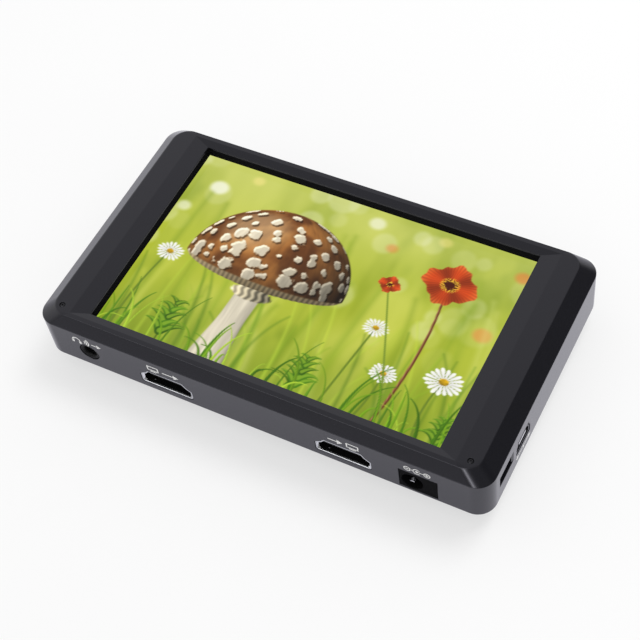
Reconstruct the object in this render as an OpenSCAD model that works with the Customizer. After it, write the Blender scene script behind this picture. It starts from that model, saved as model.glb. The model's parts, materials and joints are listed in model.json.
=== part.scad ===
// Camera field monitor, 4.5 inch class, lying on its back with the screen up.
// X runs along the long side, Y from the port edge to the key edge, Z up.
// The origin is on the resting plane, under the middle of the body.

/* [Body] */
// Border between the picture area and the body's ends
end_border = 14.55; // [13.8:0.05:20]
// Border between the picture area and the body's long edges
edge_border = 5.5; // [5.3:0.1:10]
// Radius of the upright corners of the body
corner_r = 5; // [4:0.1:6]
// Thickness of the side walls
wall_t = 1.6; // [1.3:0.05:1.8]
// Thickness of the back wall
back_t = 1.8; // [1.5:0.1:2]
// Edge break round the back of the housing
edge_break = 0.5; // [0.3:0.1:0.8]

/* [Front bezel] */
// Width of the outer slope at the ends
slope_l = 3.98; // [3.4:0.02:4.6]
// Width of the outer slope along the long edges
slope_w = 2.07; // [1.7:0.01:2.3]
// Corner radius of the flat face
flat_r = 4.6; // [3:0.1:6]
// Height of the slope from the flat face down to the seam
slope_h = 3.29; // [3:0.05:3.6]
// Thickness of the bezel's skin behind the flat face
skin_t = 1.1; // [0.9:0.1:1.3]
// Height of the locating lip that stands inside the housing
lip_h = 1.4; // [1:0.1:1.6]
// Thickness of the locating lip
lip_t = 0.8; // [0.6:0.05:0.85]

/* [Screen] */
// Length of the picture area
picture_l = 96.6; // [88:0.1:112]
// Width of the picture area
picture_w = 60.4; // [55:0.1:70]
// Depth of the screen's surface behind the flat face
screen_depth = 3.5; // [3.2:0.05:3.6]
// Border of the screen glass outside the picture area, along each edge
glass_border = 2.1; // [1.8:0.1:2.1]
// Thickness of the screen glass
glass_t = 0.9; // [0.7:0.1:1]
// Thickness of the backlight behind the glass
backlight_t = 1; // [0.8:0.1:1.1]
// Thickness of the steel tray that holds glass and backlight
tray_t = 0.2; // [0.15:0.05:0.3]
// Length of the sloped inner border, from the opening to the flat face
inner_slope_l = 4.88; // [3:0.1:5]
// Width of the sloped inner border along the long edges
inner_slope_w = 2.05; // [1.2:0.1:2.2]
// Depth of the sloped inner border at the opening
inner_slope_h = 0.51; // [0.3:0.01:0.6]

/* [Circuit board] */
// Gap between the screen's steel tray and the board
board_gap = 1.15; // [1.1:0.05:2]
// Thickness of the board
board_t = 1; // [0.8:0.1:1.6]
// Gap between the board and the side walls at the ends
board_end_gap = 9.25; // [8.8:0.05:11]
// Gap between the board and the key edge's outer face
board_key_gap = 4.1; // [4:0.1:4.4]

/* [Ports] */
// Distance of the headphone jack's middle from the left end
jack_inset = 14.9; // [14.2:0.05:15.5]
// Bore of the headphone jack
jack_bore = 3.6; // [3.5:0.05:3.8]
// Outer diameter of the headphone jack's collar
jack_collar = 5.6; // [5:0.1:6]
// Distance of the video output's middle from the left end
video_out_inset = 37.85; // [36.5:0.05:40]
// Distance of the video input's middle from the right end
video_in_inset = 37.95; // [37.5:0.05:40]
// Width of a video socket's steel shell
video_w = 15; // [14.6:0.1:15.2]
// Height of a video socket's steel shell
video_h = 5.6; // [5.4:0.05:6]
// Gap between a video socket and the back wall
video_gap = 0.5; // [0.4:0.05:2]
// Gap between a video socket and the board
video_drop = 0.6; // [0.5:0.05:1]
// Distance of the power socket's middle from the right end
power_inset = 18.05; // [17.8:0.05:18.8]
// Width of the power socket
power_w = 9.9; // [9.6:0.1:10.2]
// Height of the power socket
power_h = 7.5; // [7:0.1:7.6]
// Bore of the power socket
power_bore = 5.7; // [5.5:0.1:6]
// Diameter of the power socket's centre pin
power_pin = 2; // [1.6:0.1:2.5]
// Distance of the service port's middle from the port edge
service_inset = 20.55; // [20:0.05:24]
// Width of the service port's shell
service_w = 7.7; // [7:0.1:8]
// Height of the service port's shell
service_h = 3.9; // [3.5:0.1:4]
// Length of the hood clip slot
slot_l = 7.8; // [6:0.1:8.2]
// Height of the hood clip slot
slot_h = 3.9; // [3:0.1:4]
// Depth of the hood clip slot
slot_d = 2.6; // [2:0.1:2.8]

/* [Keys] */
// Distance between neighbouring keys
key_pitch = 11.5; // [10.8:0.1:12]
// Length of a key cap
key_l = 7.4; // [6:0.1:7.8]
// Height of a key cap
key_h = 3.2; // [2.6:0.1:3.6]
// Travel of a key
key_travel = 0.4; // [0.2:0.05:0.5]

/* [Tripod thread] */
// Core diameter of the quarter inch tripod thread
thread_core = 5.2; // [5:0.05:5.5]
// Depth of the thread
thread_depth = 6.6; // [6:0.1:7]
// Outer diameter of the brass insert
insert_d = 8.2; // [7.6:0.1:8.4]

/* [Battery plate] */
// Length of the battery plate
plate_l = 71; // [70:0.5:72]
// Width between the plate's two rails
rail_gap = 38.8; // [38.6:0.1:39.4]
// Width of a rail
rail_w = 2.4; // [2:0.1:2.6]
// Height of the rails over the plate
rail_h = 4.2; // [4.1:0.1:5]
// Thickness of the plate
plate_t = 1.8; // [1.5:0.1:2.2]
// Reach of a hook over the battery's groove
hook_reach = 1.4; // [1:0.1:1.6]
// Thickness of a hook
hook_t = 1.3; // [1:0.1:1.5]
// Travel of the battery release
release_travel = 2.2; // [1.8:0.1:2.3]

/* [Hidden] */
$fn = 64;
KEYS = ["power", "input", "left", "menu", "right", "assist"];

// Overlap that makes a cut run clear of a face
over = 0.5;
// Clearance between fixed neighbours
snug = 0.1;
// Clearance each side of a key or lever in its hole
run_gap = 0.1;
// Height of a slice that carries an outline into a hull
slice = 0.02;
// Clearance between the board and the housing's long wall
inner_gap = 0.7;

// Heights, from the resting plane up
back_z = rail_h + plate_t;
floor_z = back_z + back_t;
video_top = floor_z + video_gap + video_h;
board_z = video_top + video_drop;
board_top = board_z + board_t;
tray_z = board_top + board_gap;
light_z = tray_z + tray_t + backlight_t;
screen_z = light_z + glass_t;
front_z = screen_z + screen_depth;
seam_z = front_z - slope_h;
skin_z = front_z - skin_t;

// Sizes in plan: a name in x or y is a half size, or a place from the middle
body_l = picture_l + 2 * end_border;
body_w = picture_w + 2 * edge_border;
flat_l = body_l - 2 * slope_l;
flat_w = body_w - 2 * slope_w;
body_x = body_l / 2;
body_y = body_w / 2;
inner_x = body_x - wall_t;
inner_y = body_y - wall_t;
opening_gap_l = 0.16;
opening_gap_w = 0.13;
opening_x = picture_l / 2 + opening_gap_l;
opening_y = picture_w / 2 + opening_gap_w;
glass_x = picture_l / 2 + glass_border;
glass_y = picture_w / 2 + glass_border;
tray_x = glass_x + snug + tray_t;
tray_y = glass_y + snug + tray_t;
cavity_x = flat_l / 2;
cavity_y = flat_w / 2 - 0.5;
cavity_r = 3;

// Corner fixings: from the front at the port edge, from the back at the key edge
fixing_x = body_x - 6.4;
fixing_y = body_y - 4.75;
boss_r = 2.4;
boss_end = board_z - 0.4;
front_screw_r = 0.7;
front_head_r = 0.95;
front_head_h = 0.8;
front_head_depth = 0.15;
front_drive_r = 0.45;
front_screw_end = floor_z + 2;
back_screw_r = 1;
back_head_r = 2.1;
back_drive_r = 0.7;
back_screw_top = skin_z - 1.5;

// Tray screws, into bosses behind the bezel
tray_screw_x = tray_x + 4.4;
tray_screw_y = tray_y - 11.6;
small_head_r = 1.9;
small_head_h = 0.8;
small_screw_r = 0.8;
small_drive_r = 0.6;
tray_screw_top = skin_z - 1;

// Flex from the glass round the tray's edge, and its connector on the board
flex_w = 24;
flex_t = 0.15;
flex_top_z = light_z + 0.2;
flex_low_z = board_top + 0.45;
flex_r = (flex_top_z - flex_low_z) / 2;
flex_x = tray_x + 0.5;
connector_x = tray_x - 4;
connector_l = 4.2;
connector_h = 0.9;
connector_side = 1.5;
connector_lid = 1.2;

// Middles of the ports
jack_x = jack_inset - body_x;
video_out_x = video_out_inset - body_x;
video_in_x = body_x - video_in_inset;
power_x = body_x - power_inset;
service_y = service_inset - body_y;

// Board, with a tongue under the service port, and its posts on the back wall
board_x = inner_x - board_end_gap;
board_near = inner_gap - inner_y;
board_far = body_y - board_key_gap;
tongue_x = inner_x - 0.35;
tongue_half = service_w / 2 + 0.8;
post_r = 2.5;
board_screw_end = board_z - 4;
BOARD_POSTS = [[jack_x + 9.35, board_near + 6.9], [power_x - 8.7, board_near + 6.9],
               [7.5 - board_x, board_far - 14.1], [board_x - 4, board_far - 14.1]];

// Processor with its heat sink, memory, coils and a row of small parts
chip_w = 15;
chip_t = 1.2;
chip_y = 4;
sink_l = 28;
sink_w = 22;
sink_h = 3.2;
groove_w = 1.4;
groove_d = 2.2;
groove_pitch = 3;
memory_l = 10;
memory_w = 8;
memory_t = 1;
coil_w = 5.4;
coil_h = 2.4;
small_l = 2;
small_w = 1.2;
small_t = 0.8;
small_pitch = 8;
small_y = 21;

// Video sockets: the narrow side faces the screen
video_len = 11.4;
video_sheet = 0.35;
LEGS = [3.2, 9.4];
leg_w = 1.4;
tab_x = 3.2;
tab_start = 3;
tab_l = 5.4;
tab_w = 2.5;
tab_gap = 0.3;
video_mouth = 0.1;
video_tongue_w = 11.2;
video_tongue_t = 1.3;
video_block = 3.6;
contact_pitch = 1;
contact_w = 0.5;
contact_proud = 0.06;
contact_len = 4.2;

// Headphone jack and power socket, hung under the board
jack_z = board_z - 2.5;
jack_w = 6;
jack_h = 5;
jack_len = 13;
power_mouth = 0.15;
power_len = 13.6;
power_bore_side = 1.6;
power_bore_x = power_x - power_bore_side;
power_bore_z = board_z - power_h / 2 - 0.4;
power_bore_len = 10;
power_tip = 0.3;

// Service port
service_z = board_z - service_h / 2;
service_len = 9.2;
service_sheet = 0.3;
service_mouth = 0.15;
service_face = body_x - service_mouth;
service_rear = service_face - service_len;
service_block = 3;
service_tongue_w = 4.4;
service_tongue_t = 0.7;
service_tongue_z = service_z + 0.3;
service_tip = 0.8;

// Hood clip slot
slot_z = board_z - 1.2;
slot_wall = 0.9;
slot_y = service_y - tongue_half - 0.5 - slot_wall - slot_l / 2;

// Keys: the power key is next to the status light
key_z = board_z - 2.5;
strip_d = 0.8;
strip_l = key_pitch * (len(KEYS) - 1) + key_l + 4;
strip_half_h = 2.9;
key_proud = 0.7;
key_wall_t = 1.6;
key_wall_y = body_y - strip_d - key_wall_t;
flange_t = 1;
flange_over = 0.9;
stem_r = 1.2;
stem_end = board_far - 0.3;
switch_w = 6;
switch_d = 3.6;
switch_h = 5;
switch_y = stem_end - key_travel - 0.4;
plunger_r = 0.8;
plunger_len = 2;
plunger_end = stem_end - plunger_len;
light_x = key_pitch * len(KEYS) / 2 + 4;
pipe_r = 1;

// Tripod insert in the left edge
insert_z = back_z + 6.3;
insert_len = thread_depth + 1;
insert_block_y = insert_d / 2 + 1.9;
insert_block_x = body_x - insert_len - 1.3;

// Battery plate
plate_y = rail_gap / 2 + rail_w;
HOOKS = [-24, 8];
hook_l = 10;
stop_z = 1.2;
stop_t = 1.6;
block_x = -plate_l / 2 + 4.5;
block_l = 6;
block_y = 10.5;
block_h = rail_h - 0.6;
BLADES = [-7.5, 0, 7.5];
blade_t = 0.8;
blade_l = 5;
blade_h = 2.2;
blade_z = rail_h - 2.9;
blade_fit = 0.02;
tail_x = block_x + 1.6;
tail_l = 2;
tail_top = floor_z + 2;
lead_r = 0.6;
lead_bend = 2;
lead_x = tail_x + tail_l / 2;
lead_z = board_z - 1.8;
socket_x = -sink_l / 2 - 6;
socket_l = 5;
socket_h = 3.2;
socket_y = BLADES[2] + 2;
coil_y = -BLADES[2] - 1 - coil_w / 2;
memory_y = socket_y + 1.1 + memory_w / 2;
plate_screw_x = plate_l / 2 - 4.7;
plate_screw_y = rail_gap / 2 - 3;
plate_screw_r = 1.1;
plate_head_r = 2;
plate_head_h = 0.9;
plate_boss_r = 2.8;
plate_boss_top = floor_z + 3.4;

// Release lever: latch nose in the plate, thumb pad beyond its end
nose_x = plate_l / 2 - 9.5;
nose_l = 3;
nose_y = 2.2;
pad_x = plate_l / 2 + 2.2;
pad_l = 4.6;
pad_y = 4.4;
pad_proud = 1.4;
bar_y = pad_y + 0.4;
bar_z = floor_z + run_gap;
bar_t = 1.3;
bar_x0 = nose_x - 1.2;
bar_x1 = pad_x + pad_l + 0.8;
cover_t = 0.8;
cover_gap = 0.3;
cover_top = board_z - 0.4;
spring_x = (bar_x0 + bar_x1) / 2;
spring_r = 1.9;
spring_wire = 0.35;
spring_turns = 4.5;
spring_z0 = bar_z + bar_t;
spring_z1 = cover_top - cover_t;
latch_ear_y = bar_y + cover_gap + cover_t + 2.4;
latch_ear_z = floor_z + 3;
latch_ear_t = 1;
latch_post_r = 2;
latch_screw_r = 0.8;
latch_screw_end = floor_z + 0.6;

// Vents in the back wall, beside the plate
VENTS = [-4, -3, -2, 2, 3, 4];
vent_pitch = 3;
vent_w = 1.4;
vent_l = 12;
vent_x = body_x - 12.85;

// ---- shapes that repeat ----

// Rectangle with round corners
module rounded_rect(l, w, r) {
    square([l - 2 * r, w], center = true);
    square([l, w - 2 * r], center = true);
    for (x = [-1, 1], y = [-1, 1])
        translate([x * (l / 2 - r), y * (w / 2 - r)])
            circle(r);
}

// Extrudes an outline drawn in X and Z along Y, from y0 to y1
module along_y(y0, y1)
    translate([0, y1, 0])
        rotate([90, 0, 0])
            linear_extrude(y1 - y0)
                children();

// Extrudes an outline drawn in Y and Z along X, from x0 to x1
module along_x(x0, x1)
    translate([x0, 0, 0])
        rotate([90, 0, 90])
            linear_extrude(x1 - x0)
                children();

// Extrudes an outline drawn in X and Y along Z, from z0 to z1
module along_z(z0, z1)
    translate([0, 0, z0])
        linear_extrude(z1 - z0)
            children();

// Trapezium from z0 to z1 whose half width goes from a0 to a1
module trapezium(a0, a1, z0, z1)
    polygon([[-a0, z0], [a0, z0], [a1, z1], [-a1, z1]]);

// Four-sided hopper with mitred corners, from half sizes a0 at z0 to a1 at z1
module hopper(a0, a1, z0, z1)
    intersection() {
        along_y(-body_w, body_w)
            trapezium(a0[0], a1[0], z0, z1);
        along_x(-body_l, body_l)
            trapezium(a0[1], a1[1], z0, z1);
    }

// Slab with round corners whose lower edge is broken by c
module slab(l, w, r, c, z0, z1) {
    along_z(z0 + c, z1)
        rounded_rect(l, w, r);
    along_x(r - l / 2, l / 2 - r)
        trapezium(w / 2 - c, w / 2, z0, z0 + c);
    along_y(r - w / 2, w / 2 - r)
        trapezium(l / 2 - c, l / 2, z0, z0 + c);
    for (x = [-1, 1], y = [-1, 1])
        translate([x * (l / 2 - r), y * (w / 2 - r), z0])
            cylinder(r1 = r - c, r2 = r, h = c);
}

// Upright cylinder from z0 to z1 at p
module post(p, r, z0, z1)
    translate([p[0], p[1], z0])
        cylinder(r = r, h = z1 - z0);

// Countersunk head, wide at z0
module countersink(p, r, shank_r, z0)
    translate([p[0], p[1], z0])
        cylinder(r1 = r, r2 = shank_r, h = r - shank_r);

function unit(v) = v / norm(v);

// Moves every side of an outline inwards by d; its points go counterclockwise
function inset(p, d) = [
    for (i = [0 : len(p) - 1])
        let (u = unit(p[i] - p[(i + len(p) - 1) % len(p)]),
             v = unit(p[(i + 1) % len(p)] - p[i]),
             a = [-u[1], u[0]],
             b = [-v[1], v[0]])
        p[i] + d * (a + b) / (1 + a * b)];

// Rounds every corner of an outline to the radius r, in n steps
function rounded(p, r, n = 4) = [
    for (i = [0 : len(p) - 1])
        let (u = unit(p[i] - p[(i + len(p) - 1) % len(p)]),
             v = unit(p[(i + 1) % len(p)] - p[i]),
             turn = atan2(u[0] * v[1] - u[1] * v[0], u * v),
             side = sign(turn),
             start = p[i] - u * r * tan(abs(turn) / 2),
             middle = start + side * r * [-u[1], u[0]])
        for (k = [0 : n])
            let (a = turn * k / n,
                 q = start - middle)
            middle + [q[0] * cos(a) - q[1] * sin(a), q[0] * sin(a) + q[1] * cos(a)]];

// Outline of a video socket around x: narrow towards the screen, wide towards the back
function video_outline(x) =
    let (w = video_w / 2,
         h = video_h)
    [for (p = [[-w + 0.5, -h], [w - 0.5, -h], [w, 0.5 - h], [w, -2.3],
               [w - 1.5, -1.3], [w - 2.5, 0], [2.5 - w, 0], [1.5 - w, -1.3],
               [-w, -2.3], [-w, 0.5 - h]])
        [x + p[0], video_top + p[1]]];

// Outline of the service port: narrow towards the screen
function service_outline() =
    let (w = service_w / 2,
         h = service_h / 2)
    [for (p = [[-w, -h], [w, -h], [w, 0.2], [w - 0.8, 1], [w - 0.8, h],
               [0.8 - w, h], [0.8 - w, 1], [-w, 0.2]])
        [service_y + p[0], service_z + p[1]]];

module video_profile(x, d)
    polygon(rounded(inset(video_outline(x), d), 0.3));

module service_profile(d)
    polygon(rounded(inset(service_outline(), d), 0.2));

function key_x(i) = key_pitch * (i - (len(KEYS) - 1) / 2);

// ---- front ----

module front_bezel()
    color("#2d2d30")
        difference() {
            union() {
                difference() {
                    hull() {
                        along_z(seam_z, seam_z + slice)
                            rounded_rect(body_l, body_w, corner_r);
                        along_z(front_z - slice, front_z)
                            rounded_rect(flat_l, flat_w, flat_r);
                    }
                    along_z(seam_z - over, skin_z)
                        rounded_rect(2 * cavity_x, 2 * cavity_y, cavity_r);
                }
                bezel_lip();
                for (x = [-1, 1], y = [-1, 1]) {
                    post([x * fixing_x, y * fixing_y], boss_r, boss_end, skin_z + slice);
                    post([x * tray_screw_x, y * tray_screw_y], small_head_r, tray_z + tray_t, skin_z + slice);
                }
                for (x = [-1, 1])
                    translate([x * (tray_x + 1.2) - 0.5, -tray_screw_y + 3, seam_z])
                        cube([1, 2 * tray_screw_y - 6, skin_z + slice - seam_z]);
            }
            hopper([opening_x, opening_y],
                   [opening_x + inner_slope_l * (inner_slope_h + over) / inner_slope_h,
                    opening_y + inner_slope_w * (inner_slope_h + over) / inner_slope_h],
                   front_z - inner_slope_h, front_z + over);
            along_z(skin_z - over, front_z)
                square([2 * opening_x, 2 * opening_y], center = true);
            for (x = [-1, 1]) {
                post([x * fixing_x, -fixing_y], front_screw_r + snug, boss_end - over, front_z + over);
                post([x * fixing_x, -fixing_y], front_head_r + snug,
                     front_z - front_head_depth - front_head_h - 0.02, front_z + over);
                post([x * fixing_x, fixing_y], back_screw_r, boss_end - over, back_screw_top + over);
                for (y = [-1, 1])
                    post([x * tray_screw_x, y * tray_screw_y], small_screw_r, tray_z, tray_screw_top + 0.2);
            }
        }

// Lip that stands inside the housing's walls
module bezel_lip()
    difference() {
        along_z(seam_z - lip_h, seam_z + 0.4)
            rounded_rect(2 * (inner_x - snug), 2 * (inner_y - snug), corner_r - wall_t - snug);
        along_z(seam_z - lip_h - over, seam_z + over)
            rounded_rect(2 * (inner_x - snug - lip_t), 2 * (inner_y - snug - lip_t),
                         corner_r - wall_t - snug - lip_t);
    }

// Two small screws seen in the corners at the port edge
module bezel_screws()
    color("#1c1c1e")
        for (x = [-1, 1]) {
            difference() {
                post([x * fixing_x, -fixing_y], front_head_r,
                     front_z - front_head_depth - front_head_h, front_z - front_head_depth);
                post([x * fixing_x, -fixing_y], front_drive_r,
                     front_z - front_head_depth - front_head_h / 2, front_z, $fn = 6);
            }
            post([x * fixing_x, -fixing_y], front_screw_r,
                 front_screw_end, front_z - front_head_depth - front_head_h);
        }

module lcd_gasket()
    color("#0c0c0d")
        along_z(screen_z, skin_z)
            difference() {
                square([2 * glass_x, 2 * glass_y], center = true);
                square([2 * opening_x + snug, 2 * opening_y + snug], center = true);
            }

module lcd_panel()
    color("#1a2a1e")
        along_z(light_z, screen_z)
            square([2 * glass_x, 2 * glass_y], center = true);

module backlight()
    color("#f2f2ee")
        along_z(light_z - backlight_t, light_z)
            rounded_rect(2 * glass_x, 2 * glass_y, 1);

// Steel tray with side walls, four ears and a notch for the flex
module lcd_tray()
    color("#b4b8bb")
        difference() {
            union() {
                difference() {
                    along_z(tray_z, screen_z - 0.3)
                        rounded_rect(2 * tray_x, 2 * tray_y, 1);
                    along_z(tray_z + tray_t, screen_z)
                        rounded_rect(2 * (tray_x - tray_t), 2 * (tray_y - tray_t), 0.3);
                }
                for (x = [-1, 1], y = [-1, 1])
                    along_z(tray_z, tray_z + tray_t)
                        translate([x * (tray_x + tray_screw_x) / 2, y * tray_screw_y])
                            rounded_rect(tray_screw_x - tray_x + 2 * small_head_r + 1, 2 * small_head_r, 1.2);
            }
            for (x = [-1, 1], y = [-1, 1])
                post([x * tray_screw_x, y * tray_screw_y], small_screw_r, tray_z - over, tray_z + 1);
            translate([-tray_x - over, -flex_w / 2 - 0.5, tray_z + tray_t])
                cube([over + tray_t + 0.05, flex_w + 1, screen_z - tray_z]);
        }

module tray_screws()
    color("#9a9da0")
        for (x = [-1, 1], y = [-1, 1])
            wafer_screw([x * tray_screw_x, y * tray_screw_y], tray_z, -1, tray_screw_top);

// Wafer head screw: the head's seat is at z and its shank runs to z1
module wafer_screw(p, z, side, z1)
    difference() {
        union() {
            post(p, small_head_r - snug, min(z, z + side * small_head_h), max(z, z + side * small_head_h));
            post(p, small_screw_r, min(z, z1), max(z, z1));
        }
        post(p, small_drive_r, min(z + side * small_head_h / 2, z + side * (small_head_h + over)),
             max(z + side * small_head_h / 2, z + side * (small_head_h + over)), $fn = 6);
    }

// Flex from the glass, round the tray's edge to the board
module lcd_flex()
    color("#b5762a")
        along_y(-flex_w / 2, flex_w / 2) {
            translate([-flex_x, flex_top_z - flex_t / 2])
                square([flex_x - glass_x, flex_t]);
            translate([-flex_x, flex_low_z - flex_t / 2])
                square([flex_x - connector_x, flex_t]);
            intersection() {
                translate([-flex_x, flex_low_z + flex_r])
                    difference() {
                        circle(flex_r + flex_t / 2);
                        circle(flex_r - flex_t / 2);
                    }
                translate([-flex_x - 2 * flex_r, board_top])
                    square([2 * flex_r, 3 * flex_r]);
            }
        }

module flex_connector()
    color("#e9e6dc")
        difference() {
            translate([-connector_x, -flex_w / 2 - connector_side, board_top])
                cube([connector_l, flex_w + 2 * connector_side, connector_h]);
            translate([connector_l - connector_x - connector_lid, -flex_w / 2 - connector_side / 3,
                       board_top + connector_h * 2 / 3])
                cube([connector_lid + over, flex_w + connector_side * 2 / 3, connector_h]);
        }

// ---- board ----

module main_board()
    color("#1d5a34")
        difference() {
            union() {
                along_z(board_z, board_top)
                    translate([-board_x, board_near])
                        square([2 * board_x, board_far - board_near]);
                along_z(board_z, board_top)
                    translate([board_x - 1, service_y - tongue_half])
                        square([tongue_x - board_x + 1, 2 * tongue_half]);
            }
            for (p = BOARD_POSTS)
                post(p, small_screw_r + snug, board_z - over, board_top + over);
            for (x = [video_out_x, video_in_x])
                video_legs(x, snug);
        }

module board_screws()
    color("#9a9da0")
        for (p = BOARD_POSTS)
            wafer_screw(p, board_top, 1, board_screw_end);

module processor()
    color("#17181a")
        hung_block(0, chip_y, chip_w, chip_w, chip_t);

// Block on the board's rear face, with its middle at x and y
module hung_block(x, y, l, w, h)
    translate([x - l / 2, y - w / 2, board_z - h])
        cube([l, w, h]);

// Finned block that sits on the processor
module heat_sink()
    color("#8d9194")
        difference() {
            translate([-sink_l / 2, chip_y - sink_w / 2, board_z - chip_t - sink_h])
                cube([sink_l, sink_w, sink_h]);
            for (x = [groove_w - sink_l / 2 : groove_pitch : sink_l / 2 - groove_w - 1])
                translate([x, chip_y - sink_w / 2 - over, board_z - chip_t - sink_h - over])
                    cube([groove_w, sink_w + 2 * over, groove_d + over]);
        }

// Memory, coils and other parts on the board's rear face
module board_parts()
    color("#26282b") {
        for (x = [-1, 1])
            hung_block(x * (sink_l / 2 + 0.9 + memory_l / 2), memory_y, memory_l, memory_w, memory_t);
        for (x = [jack_x + 6.65, jack_x + 14.65, sink_l / 2 + 0.7, spring_x + 6.75])
            hung_block(x, coil_y, coil_w, coil_w, coil_h);
        for (i = [-4 : 3])
            hung_block(small_pitch * i + 3, small_y, small_l, small_w, small_t);
    }

// ---- ports ----

// Four legs at the sides of a video socket, through the board; grow widens them into slots
module video_legs(x, grow)
    for (s = [-1, 1], y = LEGS)
        translate([x + s * (video_w - video_sheet) / 2 - video_sheet / 2 - grow,
                   y - body_y - grow, video_top - 3])
            cube([video_sheet + 2 * grow, leg_w + 2 * grow, board_top + 0.4 - video_top + 3 + grow]);

// Rolled steel shell with spring cuts, side legs and a closed back
module video_shell(x)
    color("#c9ccce")
        difference() {
            union() {
                along_y(video_mouth - body_y, video_mouth - body_y + video_len)
                    video_profile(x, 0);
                video_legs(x, 0);
            }
            along_y(video_mouth - body_y - over, video_mouth - body_y + video_len - video_sheet)
                video_profile(x, video_sheet);
            for (s = [-1, 1])
                translate([x + s * tab_x, tab_start - body_y, video_top - video_h - over]) {
                    for (k = [-1, 1])
                        translate([k * (tab_w - tab_gap) / 2 - tab_gap / 2, 0, 0])
                            cube([tab_gap, tab_l, over + 2 * video_sheet]);
                    translate([-tab_w / 2, 0, 0])
                        cube([tab_w, tab_gap, over + 2 * video_sheet]);
                }
        }

// Black insulator: the block at the back and the tongue that carries the contacts
module video_tongue(x)
    color("#111113") {
        along_y(video_mouth - body_y + video_len - video_sheet - video_block,
                video_mouth - body_y + video_len - video_sheet)
            video_profile(x, video_sheet);
        translate([x - video_tongue_w / 2, video_mouth - body_y + 1.2, video_tongue_z() - video_tongue_t / 2])
            cube([video_tongue_w, video_len - video_block, video_tongue_t]);
    }

function video_tongue_z() = video_top - video_h / 2 + 0.2;

// Gold contacts on both faces of both tongues
module video_contacts()
    color("#c8a24a")
        for (x = [video_out_x, video_in_x], s = [-1, 1])
            for (i = [0 : s > 0 ? 8 : 9])
                translate([x + contact_pitch * (i - (s > 0 ? 8 : 9) / 2) - contact_w / 2,
                           video_mouth - body_y + 1.8,
                           video_tongue_z() + s * (video_tongue_t + contact_proud) / 2 - contact_proud / 2])
                    cube([contact_w, contact_len, contact_proud]);

module headphone_jack()
    color("#151517")
        difference() {
            union() {
                translate([jack_x - jack_w / 2, wall_t + snug - body_y, jack_z - jack_h / 2])
                    cube([jack_w, jack_len, jack_h]);
                along_y(0.2 - body_y, wall_t + over - body_y)
                    translate([jack_x, jack_z])
                        circle(jack_collar / 2);
            }
            along_y(-body_y - over, jack_len - body_y)
                translate([jack_x, jack_z])
                    circle(jack_bore / 2);
        }

module power_socket()
    color("#18181a")
        difference() {
            translate([power_x - power_w / 2, power_mouth - body_y, board_z - power_h])
                cube([power_w, power_len, power_h]);
            along_y(-body_y - over, power_bore_len - body_y)
                translate([power_bore_x, power_bore_z])
                    circle(power_bore / 2);
            along_y(power_bore_len - body_y - over, power_len - body_y + 2)
                translate([power_bore_x, power_bore_z])
                    circle(power_pin / 2 + 0.02);
        }

// Centre pin with a domed tip
module power_contacts()
    color("#d5d7d8") {
        along_y(power_tip + power_pin / 2 - body_y, power_len - body_y)
            translate([power_bore_x, power_bore_z])
                circle(power_pin / 2);
        translate([power_bore_x, power_tip + power_pin / 2 - body_y, power_bore_z])
            sphere(power_pin / 2);
    }

module service_shell()
    color("#c9ccce")
        difference() {
            along_x(service_rear, service_face)
                service_profile(0);
            along_x(service_rear + service_sheet, body_x + over)
                service_profile(service_sheet);
        }

module service_tongue()
    color("#6d6f72") {
        along_x(service_rear + service_sheet, service_rear + service_block)
            service_profile(service_sheet);
        translate([service_rear + service_block - over, service_y - service_tongue_w / 2, service_tongue_z])
            cube([service_len - service_block + over - service_tip, service_tongue_w, service_tongue_t]);
    }

// ---- keys ----

// Side pressed switches on the board's rear face
module key_switches()
    color("#202124")
        for (i = [0 : len(KEYS) - 1])
            difference() {
                translate([key_x(i) - switch_w / 2, switch_y - switch_d, board_z - switch_h])
                    cube([switch_w, switch_d, switch_h]);
                along_y(plunger_end - key_travel - 0.8, switch_y + over)
                    translate([key_x(i), key_z])
                        circle(plunger_r + run_gap);
            }

// Cap, retaining flange and stem
module key(i)
    color("#1b1b1d")
        translate([key_x(i), 0, key_z]) {
            along_y(key_wall_y - run_gap - over, body_y - strip_d + key_proud)
                rounded_rect(key_l, key_h, key_h / 2 - 0.1);
            along_y(key_wall_y - run_gap - flange_t, key_wall_y - run_gap)
                rounded_rect(key_l + 2 * flange_over, key_h + 2 * flange_over, 1);
            along_y(stem_end, key_wall_y - run_gap - flange_t + 0.1)
                circle(stem_r);
        }

// Plunger of a switch, which moves with its key
module plunger(i)
    color("#d9d4c4")
        along_y(plunger_end, stem_end)
            translate([key_x(i), key_z])
                circle(plunger_r);

module status_led()
    color("#f5f3e8")
        translate([light_x - 1.5, board_far - 2.2, key_z - 0.8])
            cube([3, 2.2, board_z - key_z + 0.8]);

module light_pipe()
    color("#dfe6ea") {
        along_y(board_far + snug, body_y - 0.05)
            translate([light_x, key_z])
                circle(pipe_r);
        along_y(board_far + snug, inner_y)
            translate([light_x, key_z])
                circle(pipe_r + 0.7);
    }

// ---- back ----

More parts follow.
